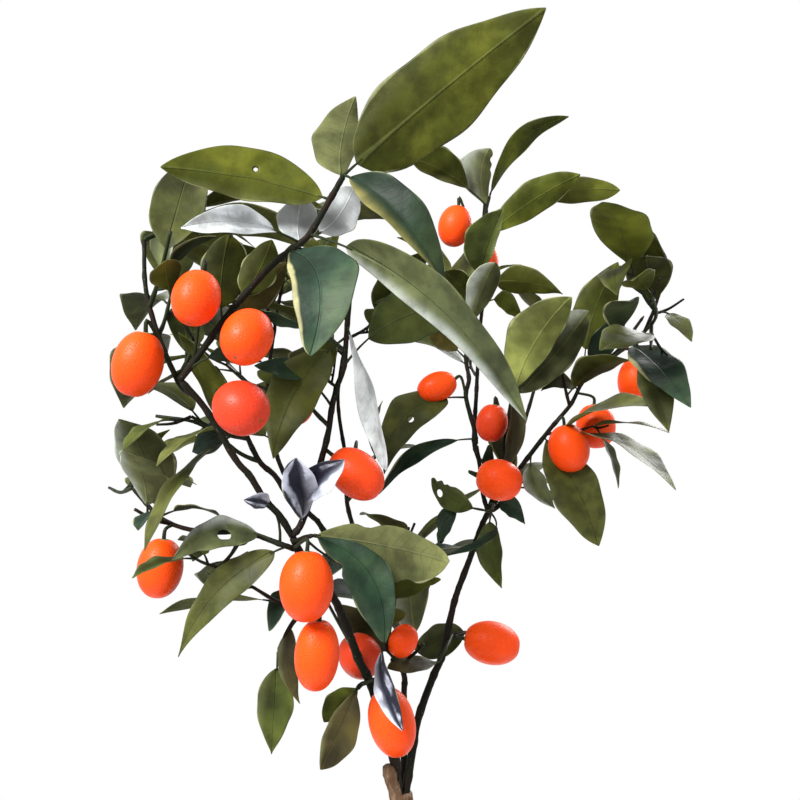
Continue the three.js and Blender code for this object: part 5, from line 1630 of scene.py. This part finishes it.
# Bark: how closely its ridges, cracks and ribs lie, how sharp and deep they are, and how much of
# the boughs' swelling at leaf scars the trunk has
RIDGE_SCALE = (0.45, 0.45, 0.09)
RIDGE_SHARPNESS = 2.4
RIDGE_DEPTH = 0.8
CRACK_SCALE = 0.5
CRACK_DEPTH = 0.35
TRUNK_SWELL = 0.4
RIB_SCALE = (0.9, 0.9, 0.25)
RIB_DEPTH = 0.09
BARK_LAYERS = (0.8, 2, 3)


def trunk_radius(share, angle):
    """The trunk's radius, with the root flare and its lobes."""
    flare = math.exp(-share / ROOT_FLARE_HEIGHT)
    lobes = 1 + ROOT_LOBE_DEPTH * math.cos(ROOT_LOBES * angle) * flare
    return (lerp((TRUNK_FOOT_RADIUS, TRUNK_FORK_RADIUS), share) + ROOT_FLARE * flare) * lobes


def limb_bmesh():
    """A bmesh for limbs, which keep their own two coordinates."""
    bm = bmesh.new()
    bm.loops.layers.uv.verify()
    return bm


def roll_limb(bm, path, radius_at, sides, relief, blunt=BOUGH_BLUNT):
    """Rolls a flat grid up round a path. The relief gives each point's rise over the radius."""
    steps = max(LEAST_RINGS, round(path.length() / RING_STEP))
    made = bmesh.ops.create_grid(bm, x_segments=steps, y_segments=sides, size=0.5, calc_uvs=True)
    rings = list(rings_along(path, steps))
    for corner in made["verts"]:
        row, place = round((corner.co.x + 0.5) * steps), corner.co.y + 0.5
        share, point, side, out = rings[row]
        angle = place * math.tau
        outward = side * math.sin(angle) + out * math.cos(angle)
        radius = radius_at(share, angle)
        if row == steps:
            radius *= blunt
        spot = point + outward * radius
        corner.co = Vector(spot + outward * relief(spot, share * path.length(), radius)) * MM
    bmesh.ops.remove_doubles(bm, verts=made["verts"], dist=WELD)
    open_ends = [edge for edge in bm.edges if edge.is_boundary]
    bmesh.ops.holes_fill(bm, edges=open_ends, sides=0)
    bmesh.ops.recalc_face_normals(bm, faces=bm.faces)


def node_swell(distance_along, radius):
    """Swelling of a limb at its leaf scars, which lie at even steps along it."""
    off = (distance_along % NODE_SPACING) - NODE_SPACING / 2
    return radius * NODE_SWELL * math.exp(-(off / NODE_REACH) ** 2)


def bark_relief(depth):
    """Ridges and cracks of the trunk's bark, stretched along it."""
    def relief(spot, distance_along, radius):
        ridge = 1 - abs(noise.noise(Vector(spot * RIDGE_SCALE))) * RIDGE_SHARPNESS
        crack = noise.fractal(Vector(spot) * CRACK_SCALE, *BARK_LAYERS)
        return (depth * (ridge * RIDGE_DEPTH + crack * CRACK_DEPTH)
                + node_swell(distance_along, radius) * TRUNK_SWELL)
    return relief


def bough_relief(spot, distance_along, radius):
    """Fine ribs of the boughs, and their leaf scars."""
    rib = noise.fractal(Vector(spot * RIB_SCALE), *BARK_LAYERS)
    return rib * RIB_DEPTH * radius + node_swell(distance_along, radius)


class KUMQUAT_OT_trunk(bpy.types.Operator):
    """Makes the trunk with its root flare, bark ridges and pruned stub"""
    bl_idname = "kumquat.trunk"
    bl_label = "Trunk"

    def execute(self, context):
        wood = context.scene.kumquat_wood
        relief = bark_relief(wood.relief / MM)
        bm = limb_bmesh()
        roll_limb(bm, Path(TRUNK_PATH), trunk_radius, TRUNK_SIDES, relief, TRUNK_BLUNT)
        bmesh.ops.bisect_plane(bm, geom=[*bm.verts, *bm.edges, *bm.faces], clear_inner=True,
                               plane_co=(0, 0, TRUNK_LOW.z), plane_no=(0, 0, 1))
        rim = [edge for edge in bm.edges if edge.is_boundary]
        bmesh.ops.holes_fill(bm, edges=rim, sides=0)
        finish = bark_finish(wood)
        piece = show("trunk_bark", mesh_of(bm, "trunk_bark"), [finish], "bark")
        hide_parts("trunk")
        stub = limb_bmesh()
        radius_at = taper((STUB_RADIUS, STUB_RADIUS))
        roll_limb(stub, Path(STUB_PATH), radius_at, STUB_SIDES, relief, STUB_BLUNT)
        show("pruned_stub", mesh_of(stub, "pruned_stub"), [finish], "bark")
        return {"FINISHED"}


class KUMQUAT_OT_boughs(bpy.types.Operator):
    """Makes each main bough with its ribs and leaf scars"""
    bl_idname = "kumquat.boughs"
    bl_label = "Boughs"

    def execute(self, context):
        finish = bough_finish(context.scene.kumquat_wood)
        for limb in crown().boughs:
            bm = limb_bmesh()
            roll_limb(bm, limb.path, taper(limb.radii), BOUGH_SIDES, bough_relief)
            name = limb.name + "_bark"
            piece = show(name, mesh_of(bm, name), [finish], "green_wood")
            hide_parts(limb.name)
        return {"FINISHED"}


# ---- Stems and twigs -----------------------------------------------------------------------------

TONE_SEED = 3
TWIG_SIDES = 10
SEEDED_TWIG_SIDES = 8
FINE_TWIG_SIDES = 6
LEAST_TWIG_RINGS = 4

# Stalks: their sides and steps, their radii from twig to leaf or fruit, how far a petiole runs
# into its blade, as a share of the leaf, and the most of the twigs' brown that they take
PETIOLE_GRID = (6, 5)
PETIOLE_ENDS = (PETIOLE_RADIUS * 1.25, PETIOLE_RADIUS * 0.7)
PETIOLE_OVERLAP = 0.03
PETIOLE_POINTS = 5
PETIOLE_BROWN = 0.4
PEDICEL_GRID = (8, 10)
PEDICEL_ENDS = (PEDICEL_RADIUS, PEDICEL_RADIUS * 1.35)
PEDICEL_BROWN = 0.5


def all_leaves(grown):
    """A mass's leaves: the laid-out ones, then those of its seeded and finer twigs."""
    yield from grown.leaves
    for sprig in grown.sprigs + grown.fine_sprigs:
        yield from sprig.leaves


class KUMQUAT_OT_twigs(bpy.types.Operator):
    """Makes the stems, the twigs and the stalks of leaves and fruits"""
    bl_idname = "kumquat.twigs"
    bl_label = "Stems and twigs"

    def execute(self, context):
        wood = context.scene.kumquat_wood
        bough_bark, young = bough_finish(wood), twig_finish(wood)
        stems = limb_bmesh()
        twigs, stalks = Batch(), Batch()
        draws = seeded_random(TONE_SEED)
        for grown in crown().masses:
            roll_limb(stems, grown.stem, taper(grown.radii), STEM_SIDES, bough_relief)
            for side in grown.twigs:
                self.limb(twigs, side.path, TWIG_RADII, TWIG_SIDES, next(draws))
            for sprig in grown.sprigs:
                self.limb(twigs, sprig.path, TWIG_RADII, SEEDED_TWIG_SIDES, next(draws))
            for sprig in grown.fine_sprigs:
                self.limb(twigs, sprig.path, FINE_TWIG_RADII, FINE_TWIG_SIDES, next(draws))
            for grown_leaf in all_leaves(grown):
                end = grown_leaf.petiole + PETIOLE_OVERLAP
                path = Path(leaf_points(grown_leaf, np.linspace(0, end, PETIOLE_POINTS), 0))
                add_tube(stalks, path, taper(PETIOLE_ENDS), *PETIOLE_GRID, next(draws) * PETIOLE_BROWN)
            for hung in grown.fruits:
                tone = next(draws) * PEDICEL_BROWN
                add_tube(stalks, stalk_path(hung), taper(PEDICEL_ENDS), *PEDICEL_GRID, tone)
        show("stems", mesh_of(stems, "stems"), [bough_bark], "green_wood")
        show("twigs", twigs.mesh("twigs"), [young], "foliage")
        show("leaf_and_fruit_stalks", stalks.mesh("stalks"), [young], "foliage")
        return {"FINISHED"}

    def limb(self, batch, path, radii, sides, tone):
        """A twig, a little thicker at each leaf scar."""
        length = path.length()

        def radius_at(share):
            radius = lerp(radii, share)
            return radius + node_swell(share * length, radius)

        steps = max(LEAST_TWIG_RINGS, round(length / TWIG_STEP))
        add_tube(batch, path, radius_at, sides, steps, tone)


# ---- Leaves --------------------------------------------------------------------------------------

BLADE_SEED = 23

# How far a blade's rows are spaced evenly, and how far closer together at its ends
EVEN_ROWS = 0.55
END_ROWS = 0.45

# Half breadth of a blade's ends, in millimetres, and the waves of its outline: their depth as a
# share, how closely they lie, and how far the two margins are out of step
BLADE_EDGE = 0.25
OUTLINE_WAVE = 0.045
OUTLINE_TURNS = 17
OUTLINE_SHIFT = 2

# How a blade's margin ripples and its halves roll up and down, and how far its tip curls
RIPPLE_TURNS = 11
RIPPLE_SHIFT = 1.3
RIPPLE_POWER = 1.5
ROLL_TURNS = 5
ROLL_HEIGHT = 0.5
TIP_CURL = 0.8
TIP_POWER = 4

# A hole's column in the grid of the blade, how much longer it is than wide, and the steps from its
# middle to the grid points of its rim
HOLE_COLUMN = 2
HOLE_STRETCH = 1.3
HOLE_RIM = ((-1, -1), (-1, 0), (-1, 1), (0, 1), (1, 1), (1, 0), (1, -1), (0, -1))


def blade_stations(rows):
    """Shares of the blade's length at which it has a row of points, closer together at its ends."""
    even = np.linspace(0, 1, rows + 1)
    return EVEN_ROWS * even + END_ROWS * (1 - np.cos(np.pi * even)) / 2


def add_blade(batch, grown, wave, phase, tone, grid):
    """One blade, with waves in its margin, a curl, and the hole and bites it has."""
    rows, columns = grid
    across = np.linspace(-1, 1, columns + 1)
    blade, crosswise = (part.ravel() for part in np.meshgrid(blade_stations(rows), across, indexing="ij"))
    faces = grid_faces(rows, columns)
    spare = open_hole(blade, crosswise, faces, columns, grown) if grown.hole else None
    margin_turns = blade * OUTLINE_TURNS + phase + np.sign(crosswise) * OUTLINE_SHIFT
    crosswise *= 1 + OUTLINE_WAVE * np.sin(margin_turns)
    for share, side, depth in grown.bites:
        near = np.exp(-((blade - share) / BITE_LENGTH) ** 2) * (np.sign(crosswise) == side)
        crosswise *= 1 - depth * near
    along = grown.petiole + (1 - grown.petiole) * blade
    points = leaf_points(grown, along, crosswise, edge=BLADE_EDGE)
    full = blade_outline(blade)
    ripple_turns = blade * (RIPPLE_TURNS + phase) + phase + np.sign(crosswise) * RIPPLE_SHIFT
    ripple = np.sin(ripple_turns) * np.abs(crosswise) ** RIPPLE_POWER
    roll = (np.sin(blade * ROLL_TURNS + phase * 2) * crosswise * ROLL_HEIGHT
            - blade**TIP_POWER * math.cos(phase) * TIP_CURL)
    points = points + grown.face * ((ripple * full + roll * full) * wave * grown.length)[:, None]
    places = np.column_stack((crosswise / 2 + 0.5, blade))
    if spare is not None:
        points, places = np.delete(points, spare, axis=0), np.delete(places, spare, axis=0)
        faces = [tuple(corner - (corner > spare) for corner in face) for face in faces]
    batch.add(points, faces, places, tone)


def open_hole(blade, crosswise, faces, columns, grown):
    """Drops the four faces round a grid point and moves the points round them to an oval rim. Gives
    the point left over."""
    share, reach = grown.hole
    width = columns + 1
    centre = int(np.argmin(abs(blade[::width] - share))) * width + HOLE_COLUMN
    half_width = grown.width / 2 * blade_outline(share, grown.widest, grown.pointed)
    for row, column in HOLE_RIM:
        corner = centre + row * width + column
        angle = math.atan2(row, column)
        blade[corner] = blade[centre] + math.sin(angle) * reach * HOLE_STRETCH / grown.length
        crosswise[corner] = crosswise[centre] + math.cos(angle) * reach / half_width
    faces[:] = [face for face in faces if centre not in face]
    return centre


class KUMQUAT_OT_leaves(bpy.types.Operator):
    """Makes every leaf, joined in one piece for each tint"""
    bl_idname = "kumquat.leaves"
    bl_label = "Leaves"

    def execute(self, context):
        settings = context.scene.kumquat_leaves
        batches = {tint: Batch() for tint in TINTS}
        draws = seeded_random(BLADE_SEED)
        tints = itertools.cycle(SEEDED_TINTS)
        for grown in crown().masses:
            for laid in grown.leaves:
                self.blade(batches[laid.tint], laid, settings, draws, LAID_GRID)
            for sprig in grown.sprigs + grown.fine_sprigs:
                tint = next(tints)
                for seeded in sprig.leaves:
                    self.blade(batches[tint], seeded, settings, draws, SEEDED_GRID)
        pieces = []
        for tint, batch in batches.items():
            above, below = TINTS[tint]
            finishes = [leaf_finish(f"leaf_{tint}_above", above, tint, settings.veins, upper=True),
                        leaf_finish(f"leaf_{tint}_below", below, tint, settings.veins, upper=False)]
            piece = show(f"leaves_{tint}", batch.mesh(f"leaves_{tint}"), finishes, "foliage")
            blades = piece.modifiers.new("blade_thickness", "SOLIDIFY")
            blades.thickness = settings.thickness
            blades.offset = -1
            blades.material_offset = 1
            smooth_more(piece)
            pieces.append(piece)
        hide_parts(*(grown.name for grown in crown().masses))
        return {"FINISHED"}

    def blade(self, batch, grown, settings, draws, grid):
        """One leaf's blade, with its own phase of the waves and its own tone."""
        add_blade(batch, grown, settings.wave, next(draws) * math.tau, next(draws), grid)


# ---- Fruits --------------------------------------------------------------------------------------

# A fruit's outline: how round its ends are, and the depth and reach of the dent at each end. Its
# rind: its rows and columns, the shares of the outline at its poles, the direction its columns
# start from, and its unevenness, as waves in a turn and their height
FRUIT_ROUNDNESS = 0.94
CROWN_DENT = (0.07, 0.07)
FAR_DENT = (0.03, 0.05)
RIND_GRID = (14, 18)
RIND_ENDS = (0.004, 0.996)
RIND_HINT = np.array((0.3, 1, 0.2))
RIND_UNEVEN = ((2, 0.012), (3, 0.008))

# A fruit's cap: its place on the fruit's axis, as a share of the fruit's length from the centre,
# its reach and the heights of its middle and rim over and under that place, in millimetres, and
# how far out the notches and the underside come, as shares
CAP_SEED = 11
CAP_LOBES = 5
CAP_REACH = 2.6
CAP_PLACE = 0.465
CAP_TOP = 0.9
CAP_BOTTOM = 1.2
CAP_RIM_TOP = 0.5
CAP_RIM_BOTTOM = 0.7
CAP_NOTCH = 0.55
CAP_UNDERCUT = 0.9


def dent(distance, depth, reach):
    """How deep a dent is at a distance from its middle."""
    return depth * math.exp(-((distance / reach) ** 2))


def fruit_profile(share):
    """Half breadth and height of a fruit's outline, from stalk to far end, at shares of its length."""
    angle = share * math.pi
    height = math.cos(angle)
    radius = math.sin(angle) ** FRUIT_ROUNDNESS
    dents = dent(share, *CROWN_DENT) + dent(1 - share, *FAR_DENT)
    return radius, height * (1 - dents)


class KUMQUAT_OT_fruits(bpy.types.Operator):
    """Hangs the ripe fruits with their green caps"""
    bl_idname = "kumquat.fruits"
    bl_label = "Fruits"

    def execute(self, context):
        settings = context.scene.kumquat_fruits
        rinds, caps = Batch(), Batch()
        draws = seeded_random(CAP_SEED)
        for grown in crown().masses:
            for hung in grown.fruits:
                side = across_to(hung.axis, RIND_HINT)
                out = np.cross(side, hung.axis)
                self.rind(rinds, hung, side, out)
                self.cap(caps, hung, side, out, next(draws))
        rind = show("fruits", rinds.mesh("fruits"), [rind_finish(settings)], "fruit")
        smooth_more(rind)
        cap = show("fruit_caps", caps.mesh("fruit_caps"), [calyx_finish(settings)], "foliage")
        smooth_more(cap)
        return {"FINISHED"}

    def rind(self, batch, hung, side, out):
        """An oval rind, slightly uneven, closed at both poles."""
        rows, columns = RIND_GRID
        low, high = RIND_ENDS
        phase = hung.centre[0]
        points, places = [], []
        for row in range(rows + 1):
            share = row / rows
            radius, height = fruit_profile(min(max(share, low), high))
            for column in range(columns):
                angle = column / columns * math.tau
                uneven = 1
                for turns, depth in RIND_UNEVEN:
                    uneven += depth * math.sin(turns * angle + phase)
                points.append(hung.centre - hung.axis * height * hung.length / 2
                              + (side * math.cos(angle) + out * math.sin(angle))
                              * radius * uneven * hung.width / 2)
                places.append((column / columns, share))
        batch.add(np.array(points), tube_faces(rows, columns), places, hung.ripeness)

    def cap(self, batch, hung, side, out, tone):
        """A thick five-lobed star that sits on the stalk's end of the fruit."""
        count = CAP_LOBES * 2
        middle = hung.centre - hung.axis * hung.length * CAP_PLACE
        top, bottom = [middle - hung.axis * CAP_TOP], [middle + hung.axis * CAP_BOTTOM]
        for corner in range(count):
            angle = corner / count * math.tau + tone
            radius = CAP_REACH if corner % 2 == 0 else CAP_REACH * CAP_NOTCH
            ray = side * math.cos(angle) + out * math.sin(angle)
            drop = radius**2 / hung.width
            top.append(middle + ray * radius + hung.axis * (drop - CAP_RIM_TOP))
            bottom.append(middle + ray * radius * CAP_UNDERCUT + hung.axis * (drop + CAP_RIM_BOTTOM))
        under = count + 1
        faces = []
        for corner in range(count):
            beside = (corner + 1) % count
            faces.append((0, 1 + corner, 1 + beside))
            faces.append((under, under + 1 + beside, under + 1 + corner))
            faces.append((1 + corner, under + 1 + corner, under + 1 + beside, 1 + beside))
        points = np.array(top + bottom)
        batch.add(points, [face[::-1] for face in faces], np.zeros((len(points), 2)), tone)


# ---- Stage ---------------------------------------------------------------------------------------

# Each light's place and breadth, in metres
KEY_PLACE = (-0.9, -1.1, 1.5)
KEY_SIZE = 0.8
BACK_PLACE = (0.9, 1.2, 1.3)
BACK_SIZE = 1.0
FLOOR_STEPS = 96
NEAR_CLIP = 0.01


def area_light(name, place, target, size, power):
    """A round soft light that shines on a target."""
    light = bpy.data.lights.new(name, "AREA")
    light.shape = "DISK"
    light.size = size
    light.energy = power
    lamp = add_object(name, light)
    lamp.location = place
    lamp.rotation_euler = (Vector(target) - Vector(place)).to_track_quat("-Z", "Y").to_euler()


class KUMQUAT_OT_stage(bpy.types.Operator):
    """Sets the pale floor, the soft lights and the camera"""
    bl_idname = "kumquat.stage"
    bl_label = "Stage"

    def execute(self, context):
        stage = context.scene.kumquat_stage
        bm = bmesh.new()
        bmesh.ops.create_circle(bm, cap_ends=True, segments=FLOOR_STEPS, radius=stage.floor_radius)
        floor = add_object("floor", mesh_of(bm, "floor"))
        floor.data.materials.append(floor_finish(stage))
        floor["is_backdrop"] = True
        world = bpy.data.worlds.new("even_light")
        world.use_nodes = True
        sky = world.node_tree.nodes["Background"]
        sky.inputs["Color"].default_value = (1, 1, 1, 1)
        sky.inputs["Strength"].default_value = stage.sky
        context.scene.world = world
        target = (0, 0, EYE_HEIGHT * MM)
        area_light("key_light", KEY_PLACE, target, KEY_SIZE, stage.key)
        area_light("back_light", BACK_PLACE, target, BACK_SIZE, stage.fill)
        self.camera(context)
        context.scene.view_settings.view_transform = "Standard"
        return {"FINISHED"}

    def camera(self, context):
        """A level camera at the eye point, as wide as the front view."""
        view = bpy.data.cameras.new("front_view")
        view.lens = view.sensor_width / 2 * EYE_BACK / VIEW_HALF_WIDTH
        view.clip_start = NEAR_CLIP
        camera = add_object("front_view", view)
        camera.location = EYE * MM
        camera.rotation_euler = (math.radians(90), 0, 0)
        context.scene.camera = camera


# ---- Panel and run -------------------------------------------------------------------------------

OPERATORS = (KUMQUAT_OT_pot, KUMQUAT_OT_soil, KUMQUAT_OT_trunk, KUMQUAT_OT_boughs, KUMQUAT_OT_twigs,
             KUMQUAT_OT_leaves, KUMQUAT_OT_fruits, KUMQUAT_OT_stage)


class KUMQUAT_PT_tree(bpy.types.Panel):
    """Lists the tree's steps and sizes"""
    bl_idname = "KUMQUAT_PT_tree"
    bl_label = "Kumquat tree"
    bl_space_type = "VIEW_3D"
    bl_region_type = "UI"
    bl_category = "Kumquat"

    def draw(self, context):
        for operator in OPERATORS:
            self.layout.operator(operator.bl_idname)
        for name, group in GROUPS.items():
            box = self.layout.box()
            for setting in group.__annotations__:
                box.prop(getattr(context.scene, name), setting)


def register():
    """Adds the settings, the operators and the panel to Blender."""
    for name, group in GROUPS.items():
        bpy.utils.register_class(group)
        setattr(bpy.types.Scene, name, PointerProperty(type=group))
    for operator in (*OPERATORS, KUMQUAT_PT_tree):
        bpy.utils.register_class(operator)


def unregister():
    """Takes them away again."""
    for operator in reversed((*OPERATORS, KUMQUAT_PT_tree)):
        bpy.utils.unregister_class(operator)
    for name, group in reversed(GROUPS.items()):
        delattr(bpy.types.Scene, name)
        bpy.utils.unregister_class(group)


def write_sizes():
    """Works out the frame's box and the dressed tree's box."""
    boxes = {"cad": CAD_BOX, "visual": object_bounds()}
    {name: [list(corner) for corner in box] for name, box in boxes.items()}


def main():
    """Makes the whole tree and its stage, then works out the sizes."""
    register()
    bpy.ops.kumquat.pot()
    bpy.ops.kumquat.soil()
    bpy.ops.kumquat.trunk()
    bpy.ops.kumquat.boughs()
    bpy.ops.kumquat.twigs()
    bpy.ops.kumquat.leaves()
    bpy.ops.kumquat.fruits()
    bpy.ops.kumquat.stage()
    write_sizes()


if __name__ == "__main__":
    main()
